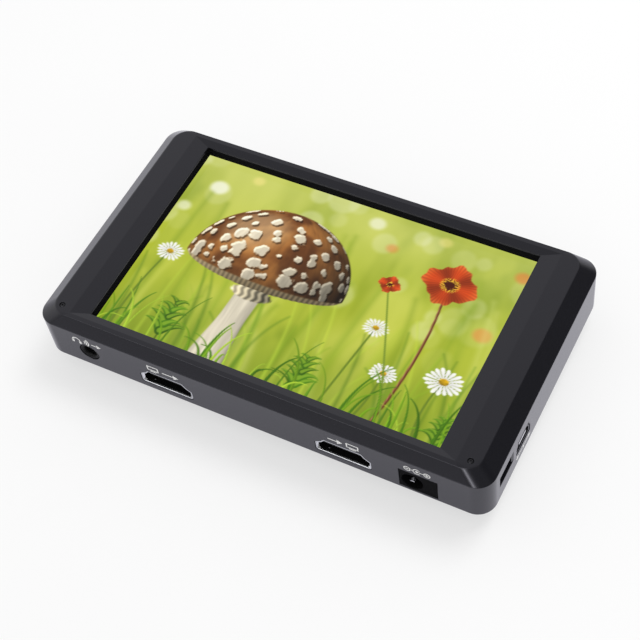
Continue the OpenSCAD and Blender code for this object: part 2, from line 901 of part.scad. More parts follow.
module rear_housing()
    color("#3a3a3e")
        difference() {
            union() {
                difference() {
                    slab(body_l, body_w, corner_r, edge_break, back_z, seam_z);
                    along_z(floor_z, seam_z + over)
                        rounded_rect(2 * inner_x, 2 * inner_y, corner_r - wall_t);
                }
                for (x = [-1, 1], y = [-1, 1])
                    post([x * fixing_x, y * fixing_y], boss_r + 0.3, floor_z - over, boss_end);
                for (p = BOARD_POSTS)
                    post(p, post_r, floor_z - over, board_z);
                for (x = [-1, 1], y = [-1, 1])
                    post([x * plate_screw_x, y * plate_screw_y], plate_boss_r,
                         floor_z - over, plate_boss_top);
                for (y = [-1, 1])
                    post([spring_x, y * latch_ear_y], latch_post_r, floor_z - over, latch_ear_z);
                // Thick wall behind the keys
                translate([-strip_l / 2, key_wall_y, floor_z - over])
                    cube([strip_l, key_wall_t, key_z + strip_half_h + 0.8 - floor_z + over]);
                // Pocket behind the hood clip slot
                translate([body_x - slot_d - slot_wall, slot_y - slot_l / 2 - slot_wall,
                           slot_z - slot_h / 2 - slot_wall])
                    cube([slot_d, slot_l + 2 * slot_wall, slot_h + 2 * slot_wall]);
                // Block that holds the tripod insert
                translate([-body_x + over, -insert_block_y, floor_z - over])
                    cube([body_x - insert_block_x - over, 2 * insert_block_y,
                          insert_z + insert_d / 2 + 0.6 - floor_z + over]);
            }
            port_cuts();
            key_cuts();
            back_cuts();
        }

module port_cuts() {
    for (x = [video_out_x, video_in_x])
        along_y(-body_y - over, 2 * wall_t - body_y)
            video_profile(x, -snug);
    along_y(-body_y - over, 2 * wall_t - body_y)
        translate([jack_x, jack_z])
            circle(jack_collar / 2 + snug);
    translate([power_x - power_w / 2 - snug, -body_y - over, board_z - power_h - 0.05])
        cube([power_w + 2 * snug, over + power_mouth + power_len + snug, power_h + 0.1]);
    along_x(inner_x - over, body_x + over)
        service_profile(-0.25);
    translate([body_x - slot_d, slot_y - slot_l / 2, slot_z - slot_h / 2])
        cube([slot_d + over, slot_l, slot_h]);
    along_x(-body_x - over, -body_x + insert_len)
        translate([0, insert_z])
            circle(insert_d / 2);
    along_y(inner_y - over, body_y + over)
        translate([light_x, key_z])
            circle(pipe_r);
}

module key_cuts() {
    along_y(body_y - strip_d, body_y + over)
        translate([0, key_z])
            rounded_rect(strip_l - 1, 2 * strip_half_h, strip_half_h - 0.1);
    for (i = [0 : len(KEYS) - 1])
        along_y(key_wall_y - over, body_y)
            translate([key_x(i), key_z])
                rounded_rect(key_l + 2 * run_gap, key_h + 2 * run_gap, key_h / 2 + run_gap - 0.1);
}

module back_cuts() {
    // Screws of the key edge corners and pilots of the port edge corners
    for (x = [-1, 1]) {
        post([x * fixing_x, fixing_y], back_screw_r + snug, back_z - over, boss_end + over);
        countersink([x * fixing_x, fixing_y], back_head_r, back_screw_r, back_z);
        post([x * fixing_x, -fixing_y], front_screw_r, front_screw_end - over, boss_end + over);
    }
    for (p = BOARD_POSTS)
        post(p, small_screw_r, board_screw_end - over, board_z + over);
    for (x = [-1, 1], y = [-1, 1])
        post([x * plate_screw_x, y * plate_screw_y], plate_screw_r, back_z - over, plate_boss_top - 0.8);
    for (y = [-1, 1])
        post([spring_x, y * latch_ear_y], latch_screw_r, floor_z, latch_ear_z + over);
    // Battery contact tails
    for (y = BLADES)
        translate([tail_x - snug, y - blade_t / 2 - snug, back_z - over])
            cube([tail_l + 2 * snug, blade_t + 2 * snug, back_t + 2 * over]);
    // Latch nose and thumb pad
    translate([nose_x - run_gap, -nose_y - run_gap, back_z - over])
        cube([nose_l + 2 * run_gap, 2 * (nose_y + run_gap), back_t + 2 * over]);
    along_z(back_z - over, floor_z + over)
        translate([pad_x + pad_l / 2, 0])
            rounded_rect(pad_l + 2 * run_gap, 2 * (pad_y + run_gap), 1 + run_gap);
    for (x = [-1, 1], i = VENTS)
        along_z(back_z - over, floor_z)
            translate([x * vent_x, i * vent_pitch])
                rounded_rect(vent_l, vent_w, vent_w / 2 - 0.01);
}

module housing_screws()
    color("#1c1c1e")
        for (x = [-1, 1])
            difference() {
                union() {
                    countersink([x * fixing_x, fixing_y], back_head_r - 0.05, back_screw_r, back_z + 0.05);
                    post([x * fixing_x, fixing_y], back_screw_r, back_z + 0.5, back_screw_top);
                }
                post([x * fixing_x, fixing_y], back_drive_r, back_z - over, back_z + back_drive_r, $fn = 6);
            }

// Brass insert with the tripod thread's core bore
module tripod_insert()
    color("#b9964f")
        difference() {
            along_x(-body_x + 0.1, -body_x + insert_len)
                translate([0, insert_z])
                    circle(insert_d / 2);
            along_x(-body_x - over, -body_x + 0.1 + thread_depth)
                translate([0, insert_z])
                    circle(thread_core / 2);
        }

// ---- battery plate ----

module battery_plate()
    color("#232326")
        difference() {
            union() {
                along_z(rail_h, back_z)
                    rounded_rect(plate_l, 2 * plate_y, 2);
                intersection() {
                    along_z(0, back_z)
                        rounded_rect(plate_l, 2 * plate_y, 2);
                    for (s = [-1, 1])
                        scale([1, s, 1])
                            along_x(-plate_l / 2, plate_l / 2)
                                polygon([[rail_gap / 2, 0], [plate_y - 0.5, 0], [plate_y, 0.5],
                                         [plate_y, rail_h + 0.5], [rail_gap / 2, rail_h + 0.5]]);
                }
                for (x = HOOKS, s = [-1, 1])
                    translate([x, s > 0 ? rail_gap / 2 - hook_reach : -rail_gap / 2 - 0.2, 0])
                        cube([hook_l, hook_reach + 0.2, hook_t]);
                // Stop wall and terminal block
                translate([-plate_l / 2 + 1, -rail_gap / 2 - 0.2, stop_z])
                    cube([stop_t, rail_gap + 0.4, rail_h - stop_z + 0.2]);
                along_z(rail_h - block_h, rail_h + 0.2)
                    translate([block_x + block_l / 2, 0])
                        rounded_rect(block_l, 2 * block_y, 0.8);
            }
            for (y = BLADES)
                translate([tail_x - blade_fit, y - blade_t / 2 - blade_fit, blade_z - blade_fit])
                    cube([block_l, blade_t + 2 * blade_fit, blade_h + 2 * blade_fit]);
            for (y = BLADES)
                translate([tail_x - blade_fit, y - blade_t / 2 - blade_fit, blade_z])
                    cube([tail_l + 2 * blade_fit, blade_t + 2 * blade_fit, back_z - blade_z + over]);
            for (x = [-1, 1], y = [-1, 1]) {
                post([x * plate_screw_x, y * plate_screw_y], plate_screw_r + snug,
                     rail_h - over, back_z + over);
                post([x * plate_screw_x, y * plate_screw_y], plate_head_r + snug,
                     rail_h - over, rail_h + plate_head_h);
            }
            translate([nose_x - run_gap, -nose_y - run_gap, rail_h - over])
                cube([nose_l + 2 * run_gap, 2 * (nose_y + run_gap), plate_t + 2 * over]);
        }

module plate_screws()
    color("#a3a6a9")
        for (x = [-1, 1], y = [-1, 1])
            difference() {
                union() {
                    post([x * plate_screw_x, y * plate_screw_y], plate_head_r, rail_h + 0.05,
                         rail_h + plate_head_h);
                    post([x * plate_screw_x, y * plate_screw_y], plate_screw_r, rail_h + 0.5,
                         plate_boss_top - 1);
                }
                for (a = [0, 90])
                    translate([x * plate_screw_x, y * plate_screw_y, rail_h])
                        rotate(a)
                            cube([2.2, 0.5, 0.9], center = true);
            }

// Three blades that enter the battery, each with a tail up into the housing
module battery_contacts()
    color("#c8a24a")
        for (y = BLADES) {
            translate([tail_x, y - blade_t / 2, blade_z])
                cube([block_x + block_l + blade_l - tail_x, blade_t, blade_h]);
            translate([tail_x, y - blade_t / 2, blade_z])
                cube([tail_l, blade_t, tail_top - blade_z]);
        }

// Two leads from the outer tails to the board's socket
module battery_leads()
    for (y = [BLADES[0], BLADES[2]])
        color(y < 0 ? "#1a1a1a" : "#a32020")
            translate([lead_x, y, 0]) {
                post([0, 0], lead_r, tail_top, lead_z - lead_bend);
                translate([lead_bend, 0, lead_z - lead_bend])
                    rotate([90, 0, 180])
                        rotate_extrude(angle = 90)
                            translate([lead_bend, 0])
                                circle(lead_r, $fn = 24);
                translate([lead_bend, 0, lead_z])
                    rotate([0, 90, 0])
                        cylinder(r = lead_r, h = socket_x - lead_x - lead_bend, $fn = 24);
            }

module lead_socket()
    color("#ece9dd")
        difference() {
            translate([socket_x, -socket_y, board_z - socket_h])
                cube([socket_l, 2 * socket_y, socket_h]);
            translate([socket_x + socket_l - 1, 1 - socket_y, board_z - socket_h + 0.6])
                cube([1 + over, 2 * socket_y - 2, socket_h - 1.4]);
        }

// ---- battery release ----

module release_lever()
    color("#27272a") {
        difference() {
            union() {
                translate([bar_x0, -bar_y, bar_z])
                    cube([bar_x1 - bar_x0, 2 * bar_y, bar_t]);
                along_y(-nose_y, nose_y)
                    polygon([[nose_x, bar_z + 0.1], [nose_x, rail_h - release_travel],
                             [nose_x + nose_l * 0.4, rail_h - release_travel],
                             [nose_x + nose_l, rail_h - 0.6], [nose_x + nose_l, bar_z + 0.1]]);
                along_z(back_z - pad_proud, bar_z + 0.1)
                    translate([pad_x + pad_l / 2, 0])
                        rounded_rect(pad_l, 2 * pad_y, 1);
            }
            // Finger grooves across the thumb pad
            for (i = [-1, 0, 1])
                translate([pad_x + pad_l / 2 + 1.2 * i - 0.25, -pad_y + 1, back_z - pad_proud - over])
                    cube([0.5, 2 * pad_y - 2, over + 0.4]);
        }
        post([spring_x, 0], spring_r - spring_wire - 0.35, bar_z + bar_t - 0.1, bar_z + bar_t + 0.5);
    }

// Round wire coil: rings of points along a helix, with flat running end turns
function spring_height(t) =
    let (ends = 0.75,
         pitch_z = spring_z1 - spring_z0 - spring_wire - 2 * 0.02)
    spring_z0 + 0.02 + spring_wire / 2
        + pitch_z * min(1, max(0, (t * spring_turns - ends) / (spring_turns - 2 * ends)));
module release_spring() {
    sides = 8;
    steps = 14 * spring_turns;
    wire_r = spring_wire / 2;
    rings = [for (i = [0 : steps])
        let (a = 360 * spring_turns * i / steps)
        for (k = [0 : sides - 1])
            let (b = 360 * k / sides,
                 q = spring_r - wire_r + wire_r * cos(b))
            [spring_x + q * cos(a), q * sin(a), spring_height(i / steps) + wire_r * sin(b)]];
    walls = [for (i = [0 : steps - 1], k = [0 : sides - 1])
        let (a = i * sides + k, b = i * sides + (k + 1) % sides)
        each [[a, b, a + sides], [b, b + sides, a + sides]]];
    color("#b9bcbe")
        polyhedron(rings, concat(walls, [[for (k = [sides - 1 : -1 : 0]) k],
                                         [for (k = [0 : sides - 1]) steps * sides + k]]));
}

// Cap over the lever that holds the spring, with an ear each side
module latch_cover()
    color("#303034")
        difference() {
            union() {
                translate([bar_x0 - cover_gap - cover_t, -bar_y - cover_gap - cover_t, floor_z])
                    cube([bar_x1 - bar_x0 + 2 * (cover_gap + cover_t), 2 * (bar_y + cover_gap + cover_t),
                          cover_top - floor_z]);
                for (y = [-1, 1])
                    along_z(latch_ear_z, latch_ear_z + latch_ear_t)
                        translate([spring_x, y * (latch_ear_y - 1)])
                            rounded_rect(4, 6, 1.9);
            }
            translate([bar_x0 - cover_gap, -bar_y - cover_gap, floor_z - over])
                cube([bar_x1 - bar_x0 + 2 * cover_gap, 2 * (bar_y + cover_gap),
                      cover_top - cover_t - floor_z + over]);
            for (y = [-1, 1])
                post([spring_x, y * latch_ear_y], latch_screw_r, floor_z, latch_ear_z + latch_ear_t + over);
        }

module latch_screws()
    color("#9a9da0")
        for (y = [-1, 1])
            wafer_screw([spring_x, y * latch_ear_y], latch_ear_z + latch_ear_t, 1, latch_screw_end);

front_bezel();
bezel_screws();
lcd_gasket();
lcd_panel();
backlight();
lcd_tray();
tray_screws();
lcd_flex();
flex_connector();
main_board();
board_screws();
processor();
heat_sink();
board_parts();
video_shell(video_out_x);  // video_out_shell
video_tongue(video_out_x);  // video_out_tongue
video_shell(video_in_x);  // video_in_shell
video_tongue(video_in_x);  // video_in_tongue
video_contacts();
headphone_jack();
power_socket();
power_contacts();
service_shell();
service_tongue();
key_switches();
status_led();
light_pipe();
rear_housing();
housing_screws();
tripod_insert();
battery_plate();
plate_screws();
battery_contacts();
battery_leads();
lead_socket();
release_lever();
release_spring();
latch_cover();
latch_screws();
for (i = [0 : len(KEYS) - 1]) {
    key(i);
    plunger(i);
}
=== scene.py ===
import json
import math
from types import SimpleNamespace

import bmesh
import bpy
import numpy as np
from bpy.props import FloatProperty, FloatVectorProperty, IntProperty, PointerProperty
from bpy.types import Operator, Panel, PropertyGroup
from mathutils import Matrix, Vector

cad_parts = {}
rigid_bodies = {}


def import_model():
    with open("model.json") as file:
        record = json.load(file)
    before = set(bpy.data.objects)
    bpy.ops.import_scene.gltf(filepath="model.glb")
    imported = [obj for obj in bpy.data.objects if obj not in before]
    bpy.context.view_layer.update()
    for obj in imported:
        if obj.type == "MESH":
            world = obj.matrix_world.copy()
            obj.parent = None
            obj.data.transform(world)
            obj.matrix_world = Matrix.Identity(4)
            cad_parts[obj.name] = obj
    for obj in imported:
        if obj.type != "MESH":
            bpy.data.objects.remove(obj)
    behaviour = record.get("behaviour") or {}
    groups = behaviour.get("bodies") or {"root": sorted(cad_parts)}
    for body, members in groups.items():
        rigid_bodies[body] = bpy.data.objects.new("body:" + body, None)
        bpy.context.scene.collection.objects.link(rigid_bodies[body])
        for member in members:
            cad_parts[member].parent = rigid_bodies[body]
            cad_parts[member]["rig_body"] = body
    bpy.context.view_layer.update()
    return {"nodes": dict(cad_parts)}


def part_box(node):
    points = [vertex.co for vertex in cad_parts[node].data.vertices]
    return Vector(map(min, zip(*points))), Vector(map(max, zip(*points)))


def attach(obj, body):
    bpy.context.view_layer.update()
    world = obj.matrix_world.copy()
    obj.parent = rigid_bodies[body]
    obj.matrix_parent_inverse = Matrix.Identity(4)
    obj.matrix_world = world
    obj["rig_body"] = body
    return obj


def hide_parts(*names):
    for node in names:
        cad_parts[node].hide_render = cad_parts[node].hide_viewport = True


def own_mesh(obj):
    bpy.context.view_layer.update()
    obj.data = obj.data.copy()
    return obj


bl_info = {
    "name": "Camera field monitor",
    "version": (1, 0, 0),
    "blender": (4, 5, 0),
    "location": "3D View > Sidebar > Field monitor",
    "description": "Finishes the surfaces of a camera field monitor around its packed construction",
    "category": "Object",
}

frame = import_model()
MM = 0.001


def corners(node):
    """Lowest and highest corner of a CAD node, in mm."""
    low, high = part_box(node)
    return np.array(low) / MM, np.array(high) / MM


def middle(node):
    """Middle of a CAD node's box, in mm."""
    low, high = corners(node)
    return (low + high) / 2


BODY_X, BODY_Y, FRONT_Z = corners("front_bezel")[1]
BACK_Z = corners("rear_housing")[0][2]
SEAM_Z = corners("rear_housing")[1][2]
SKIN_Z = corners("lcd_gasket")[1][2]
AXIS = 0.01  # mm, radius at which a turned profile starts and ends


# ---- sizes and colours that a user would change ----


def linear(code):
    """Linear colour of an sRGB hex code: each channel by the sRGB curve."""
    channels = np.array([int(code[i:i + 2], 16) for i in (1, 3, 5)]) / 255
    low = channels / 12.92
    high = ((channels + 0.055) / 1.055) ** 2.4
    return tuple(float(c) for c in np.where(channels <= 0.04045, low, high))


def length(name, description, default):
    """A length for the panel, from its default in mm."""
    return FloatProperty(
        name=name, description=description, default=default * MM, min=0, precision=5, subtype="DISTANCE")


def share(name, description, default):
    """A share from 0 to 1 for the panel."""
    return FloatProperty(
        name=name, description=description, default=default, min=0, max=1, subtype="FACTOR")


def colour(name, description, code):
    """A colour for the panel, from its sRGB hex code."""
    return FloatVectorProperty(
        name=name, description=description, default=linear(code), subtype="COLOR", size=3, min=0, max=1)


def in_mm(group):
    """The lengths of a property group, in mm."""
    return SimpleNamespace(**{name: getattr(group, name) / MM for name in type(group).__annotations__})


class BezelSizes(PropertyGroup):
    """Sizes of the front bezel."""

    slope_end: length("Outer slope at the ends", "Width of the outer slope at the short sides", 3.98)
    slope_side: length("Outer slope at the sides", "Width of the outer slope at the long sides", 2.07)
    body_radius: length("Body corner radius", "Radius of the upright corners", 5.0)
    flat_radius: length("Flat face corner radius", "Corner radius of the flat face", 4.6)
    opening_x: length("Opening half length", "Half length of the opening in front of the screen", 48.46)
    opening_y: length("Opening half width", "Half width of the opening in front of the screen", 30.33)
    inner_end: length("Inner slope at the ends", "Width of the inner slope at the short sides", 4.88)
    inner_side: length("Inner slope at the sides", "Width of the inner slope at the long sides", 2.05)
    inner_depth: length("Inner slope depth", "Depth of the inner slope at the opening", 0.51)
    screw_radius: length("Screw head radius", "Radius of the screw heads in the flat face", 0.64)
    outer_round: length("Front edge rounding", "Rounding between the flat face and the outer slope", 0.42)
    inner_round: length("Inner edge rounding", "Rounding between the flat face and the inner slope", 0.22)


class ScreenSizes(PropertyGroup):
    """Sizes of the screen."""

    picture_x: length("Picture half length", "Half length of the picture area", 48.3)
    picture_y: length("Picture half width", "Half width of the picture area", 30.2)
    columns: IntProperty(name="Columns", description="Cells across the picture", default=376, min=16)
    rows: IntProperty(name="Rows", description="Cells up the picture", default=236, min=10)


class Finishes(PropertyGroup):
    """Colours of the finishes."""

    paint: colour("Paint", "Satin paint of bezel and housing", "#17171b")
    moulding: colour("Moulding", "Black ABS of the battery plate and the keys", "#1a1a1c")
    ink: colour("Ink", "White print beside the ports", "#f0f0ee")
    board: colour("Board", "Solder mask of the circuit board", "#1d5a34")
    brass: colour("Brass", "Tripod insert", "#c9a45c")
    gold: colour("Gold", "Plated contacts", "#e2bd68")
    tin: colour("Tinned steel", "Shells of the sockets", "#cfd1d2")


# ---- meshes ----


def grid_faces(rows, columns, closed_rows=False, closed_columns=False):
    """Quads between neighbouring points of a grid. A closed direction also joins its end to its start."""
    row, column = np.meshgrid(
        np.arange(rows if closed_rows else rows - 1),
        np.arange(columns if closed_columns else columns - 1), indexing="ij")
    next_row = (row + 1) % rows
    next_column = (column + 1) % columns
    quads = [row * columns + column, row * columns + next_column,
             next_row * columns + next_column, next_row * columns + column]
    return np.stack(quads, -1).reshape(-1, 4)


def skin(rings, closed=False):
    """Surface through rings of equally many points: quads between neighbouring rings, joined last to
    first where it is closed, and otherwise a flat face over the first and the last ring."""
    rings = np.asarray(rings, float)
    rows, columns = rings.shape[:2]
    faces = grid_faces(rows, columns, closed_rows=closed, closed_columns=True).tolist()
    if not closed:
        faces.append(list(range(columns - 1, -1, -1)))
        faces.append(list(range((rows - 1) * columns, rows * columns)))
    return rings.reshape(-1, 3), faces


def together(parts):
    """Several surfaces as one, each with its points' numbers moved past those before it."""
    points = []
    faces = []
    for part_points, part_faces in parts:
        start = sum(len(p) for p in points)
        points.append(part_points)
        faces += [[start + i for i in face] for face in part_faces]
    return np.vstack(points), faces


def outline(half_x, half_y, radius, steps=16):
    """Rectangle with round corners: at each corner, its middle plus the radius times cosine and sine."""
    angles = (np.arange(4)[:, None] + np.linspace(0, 1, steps + 1)[None, :]) * math.pi / 2
    side_x = np.array([1, -1, -1, 1])[:, None] * (half_x - radius)
    side_y = np.array([1, 1, -1, -1])[:, None] * (half_y - radius)
    x = side_x + radius * np.cos(angles)
    y = side_y + radius * np.sin(angles)
    return np.stack([x.ravel(), y.ravel()], -1)


def softened(profile, rounds, steps=5):
    """Closed profile whose corners are rounded: each is a parabola from the point that lies its rounding
    before the corner to the one as far behind it, with the corner as its control point."""
    profile = np.asarray(profile, float)
    t = np.linspace(0, 1, steps)[:, None]
    points = []
    for i, corner in enumerate(profile):
        before = profile[i - 1] - corner
        after = profile[(i + 1) % len(profile)] - corner
        if rounds[i] <= 0:
            points.append(corner[None])
            continue
        start = corner + before * rounds[i] / np.linalg.norm(before)
        end = corner + after * rounds[i] / np.linalg.norm(after)
        points.append((1 - t) ** 2 * start + 2 * t * (1 - t) * corner + t ** 2 * end)
    return np.vstack(points)


def lathe(profile, steps=48, axis="Z", at=(0, 0, 0)):
    """Surface of revolution: each (radius, height) of the profile becomes a ring, the radius times cosine
    and sine of the turn. The rings are then turned so that the height runs along the axis."""
    turn = np.linspace(0, 2 * math.pi, steps, endpoint=False)
    profile = np.asarray(profile, float)
    a = profile[:, :1] * np.cos(turn)
    b = profile[:, :1] * np.sin(turn)
    h = np.repeat(profile[:, 1:], steps, 1)
    order = {"Z": (a, b, h), "Y": (b, h, a)}[axis]
    return skin(np.stack(order, -1) + np.asarray(at, float))


def prism(flat, low, high, plane="XY"):
    """Straight prism over a flat outline, between two heights along the plane's normal."""
    flat = np.asarray(flat, float)
    rings = []
    for height in (low, high):
        h = np.full(len(flat), height)
        u, v = flat[:, 0], flat[:, 1]
        rings.append(np.stack({"XY": (u, v, h), "XZ": (u, h, v), "YZ": (h, u, v)}[plane], -1))
    return skin(rings)


def built(points, faces):
    """Mesh of a surface given in mm, its doubles merged and its faces turned outwards."""
    mesh = bpy.data.meshes.new("surface")
    mesh.from_pydata((np.asarray(points) * MM).tolist(), [], faces)
    shaped = bmesh.new()
    shaped.from_mesh(mesh)
    bmesh.ops.remove_doubles(shaped, verts=shaped.verts, dist=1e-7)
    bmesh.ops.dissolve_degenerate(shaped, edges=shaped.edges, dist=1e-7)
    bmesh.ops.recalc_face_normals(shaped, faces=shaped.faces)
    shaped.to_mesh(mesh)
    shaped.free()
    return mesh


def body_of(node):
    """Name of the body that a CAD node rides on."""
    return frame["nodes"][node]["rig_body"]


def shown_object(name, data):
    """Object of a mesh, light or camera, in the scene."""
    made = bpy.data.objects.new(name, data)
    bpy.context.scene.collection.objects.link(made)
    return made


def even_shading(made):
    """Lets the large faces of a piece set its shading."""
    made.modifiers.new("Even shading", "WEIGHTED_NORMAL").keep_sharp = True


def place(name, shape, finish, slot, node=None, body="monitor", even=False):
    """Piece of a mesh or surface, smooth across flat edges. It stands for a CAD node and rides on that
    node's body, or else rides on the body that is given."""
    mesh = shape if isinstance(shape, bpy.types.Mesh) else built(*shape)
    mesh.name = name
    mesh.materials.clear()
    mesh.materials.append(finish_of(finish))
    mesh.shade_smooth()
    mesh.set_sharp_from_angle(angle=math.radians(32))
    made = shown_object(name, mesh)
    if even:
        even_shading(made)
    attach(made, body_of(node) if node else body)
    if node:
        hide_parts(node)
    return made


def carved(mesh, cutters):
    """The mesh less the cutters, as a new mesh."""
    target = shown_object("carved", mesh)
    tools = [shown_object("cutter", cutter) for cutter in cutters]
    for tool in tools:
        cut = target.modifiers.new("Cut", "BOOLEAN")
        cut.operation = "DIFFERENCE"
        cut.solver = "EXACT"
        cut.object = tool
    graph = bpy.context.evaluated_depsgraph_get()
    result = bpy.data.meshes.new_from_object(target.evaluated_get(graph))
    for used in (target, *tools):
        bpy.data.objects.remove(used)
    return result


def off_outline(x, y):
    """How far places in mm lie from the body's outline: their distance from the middle of the nearest
    corner, or from the line that joins two such middles, less the corner radius."""
    radius = bpy.context.scene.monitor_bezel.body_radius / MM
    beyond_x = np.maximum(abs(x) - BODY_X + radius, 0)
    beyond_y = np.maximum(abs(y) - BODY_Y + radius, 0)
    return abs(np.hypot(beyond_x, beyond_y) - radius)


def middle_of(edge):
    """Middle of an edge, in mm."""
    return np.array(edge.verts[0].co + edge.verts[1].co) / 2 / MM


def refined(node, finish, slot, width, segments=2, angle=30, share_of=None, reshape=None):
    """Copy of a CAD node with its sharp edges broken: the triangles are merged and joined to whole faces,
    and each edge that turns by more than the angle gets a bevel of that width in mm, times its share.
    Before that the points, in mm, may go through a function that reshapes them."""
    mesh = frame["nodes"][node].data.copy()
    if reshape:
        points = np.empty(len(mesh.vertices) * 3)
        mesh.vertices.foreach_get("co", points)
        mesh.vertices.foreach_set("co", (reshape(points.reshape(-1, 3) / MM) * MM).ravel())
    shaped = bmesh.new()
    shaped.from_mesh(mesh)
    bmesh.ops.remove_doubles(shaped, verts=shaped.verts, dist=1e-6)
    bmesh.ops.dissolve_limit(
        shaped, angle_limit=math.radians(0.6), verts=shaped.verts, edges=shaped.edges)
    weight = shaped.edges.layers.float.new("bevel_weight_edge")
    for edge in shaped.edges:
        if edge.is_manifold and edge.calc_face_angle(0) > math.radians(angle):
            edge[weight] = share_of(edge) if share_of else 1
    shaped.to_mesh(mesh)
    shaped.free()
    made = place(f"{node}_finish", mesh, finish, slot, node)
    bevel = made.modifiers.new("Edge break", "BEVEL")
    bevel.limit_method = "WEIGHT"
    bevel.width = width * MM
    bevel.segments = segments
    bevel.use_clamp_overlap = False
    even_shading(made)
    return made


def dress(node, finish, slot):
    """Gives a CAD node its finish and keeps its shape."""
    piece = frame["nodes"][node]
    for entry in piece.material_slots:
        entry.material = finish_of(finish)


# ---- materials ----


def add(tree, kind, inputs=None, **settings):
    """Adds a shader node. Settings are its own properties, and inputs give a socket a value or a link,
    from another node's socket or its first output."""
    made = tree.nodes.new("ShaderNode" + kind)
    for key, value in settings.items():
        setattr(made, key, value)
    for key, value in (inputs or {}).items():
        if isinstance(value, bpy.types.Node):
            value = value.outputs[0]
        if isinstance(value, bpy.types.NodeSocket):
            tree.links.new(value, made.inputs[key])
        else:
            made.inputs[key].default_value = value
    return made


def empty_tree(made):
    """Node tree of a new material or world, without its nodes."""
    made.use_nodes = True
    made.node_tree.nodes.clear()
    return made.node_tree


def principled(tree, **sockets):
    """The one Principled shader of a material, whose sockets get the given values, and the place in the
    piece."""
    shader = add(tree, "BsdfPrincipled", {k.replace("_", " "): v for k, v in sockets.items()})
    add(tree, "OutputMaterial", {"Surface": shader})
    return shader, add(tree, "TexCoord").outputs["Object"]


def rgba(values, gain=1.0):
    """Colour with full alpha, its channels times the gain."""
    return (*(min(1.0, v * gain) for v in values), 1.0)


def weathered(tree, shader, base, tone, gloss, marks, relief):
    """Gives a shader a colour and a roughness that vary with a field, and marks with a relief in mm. Tone
    is a field, where its colours lie and their gains, and gloss a field, its span and the roughness."""
    field, stops = tone
    colour_ramp = add(tree, "ValToRGB", {"Fac": field})
    for stop, (position, gain) in zip(colour_ramp.color_ramp.elements, stops):
        stop.position = position
        stop.color = rgba(base, gain)
    field, low, high, smooth, rough = gloss
    dull = add(tree, "MapRange", {
        "Value": field, "From Min": low, "From Max": high, "To Min": smooth, "To Max": rough})
    bump = add(tree, "Bump", {"Height": marks, "Strength": 1.0, "Distance": relief * MM})
    for node, socket in ((colour_ramp, "Base Color"), (dull, "Roughness"), (bump, "Normal")):
        tree.links.new(node.outputs[0], shader.inputs[socket])


def moulded(tree, base, roughness, grain=0.35, relief=0.006, spread=0.18, ior=1.5, gloss=0.5, vary=0.035,
            sheen=(1, 1, 1)):
    """Painted or moulded plastic. Fine grain of the given size in mm gives relief and breaks up the gloss,
    and a broad cloud varies the colour and the gloss a little, as uneven spray and handling do. The sheen
    is the tint of what it mirrors face on."""
    shader, where = principled(tree, IOR=ior, Specular_IOR_Level=gloss, Specular_Tint=(*sheen, 1))
    fine = add(tree, "TexNoise", {"Vector": where, "Scale": 1 / (grain * MM), "Detail": 2.0})
    broad = add(tree, "TexNoise", {"Vector": where, "Scale": 1 / (18 * MM), "Detail": 3.0})
    both = add(tree, "Math", {0: fine, 1: broad}, operation="ADD")
    mean = add(tree, "Math", {0: both, 1: 0.5}, operation="MULTIPLY")
    weathered(tree, shader, base, (mean, ((0.35, 1 - spread), (0.65, 1 + spread))),
              (both, 0.7, 1.3, roughness - vary, roughness + vary), fine, relief)


def metal(tree, base, roughness, stretch=(1, 1, 1)):
    """Bare or plated metal. A noise drawn out along one axis gives the rolling or turning marks, 0.12 mm
    apart, in the gloss and as a slight relief, and a cloud dulls the colour in places."""
    shader, where = principled(tree, Metallic=1.0)
    drawn = add(tree, "Mapping", {"Vector": where, "Scale": stretch})
    marks = add(tree, "TexNoise", {"Vector": drawn, "Scale": 1 / (0.12 * MM), "Detail": 3.0})
    stain = add(tree, "TexNoise", {"Vector": where, "Scale": 1 / (2.5 * MM)})
    weathered(tree, shader, base, (stain, ((0.3, 0.82), (0.7, 1.05))),
              (marks, 0.3, 0.7, max(0.03, roughness - 0.08), roughness + 0.1), marks, 0.002)


def circuit_lacquer(tree, base, roughness):
    """Lacquer of a circuit board, with its tracks as a lighter, raised pattern of square runs."""
    shader, where = principled(tree, Roughness=roughness)
    tracks = add(tree, "TexBrick", {
        "Vector": where, "Scale": 1 / (9 * MM), "Mortar Size": 0.012, "Mortar Smooth": 0.2,
        "Color1": rgba(base, 0.85), "Color2": rgba(base, 1.0), "Mortar": rgba(base, 1.7)})
    bump = add(tree, "Bump", {"Height": tracks.outputs["Fac"], "Strength": 1.0, "Distance": 0.03 * MM})
    tree.links.new(tracks.outputs["Color"], shader.inputs["Base Color"])
    tree.links.new(bump.outputs[0], shader.inputs["Normal"])


def lit_panel(tree, base, roughness):
    """Panel that glows with its mesh's own colours behind glass that barely reflects."""
    shader, _ = principled(
        tree, Base_Color=rgba(base), Roughness=roughness, Specular_IOR_Level=0.12, Emission_Strength=1.0)
    picture = add(tree, "Attribute", attribute_name="Picture")
    tree.links.new(picture.outputs["Color"], shader.inputs["Emission Color"])


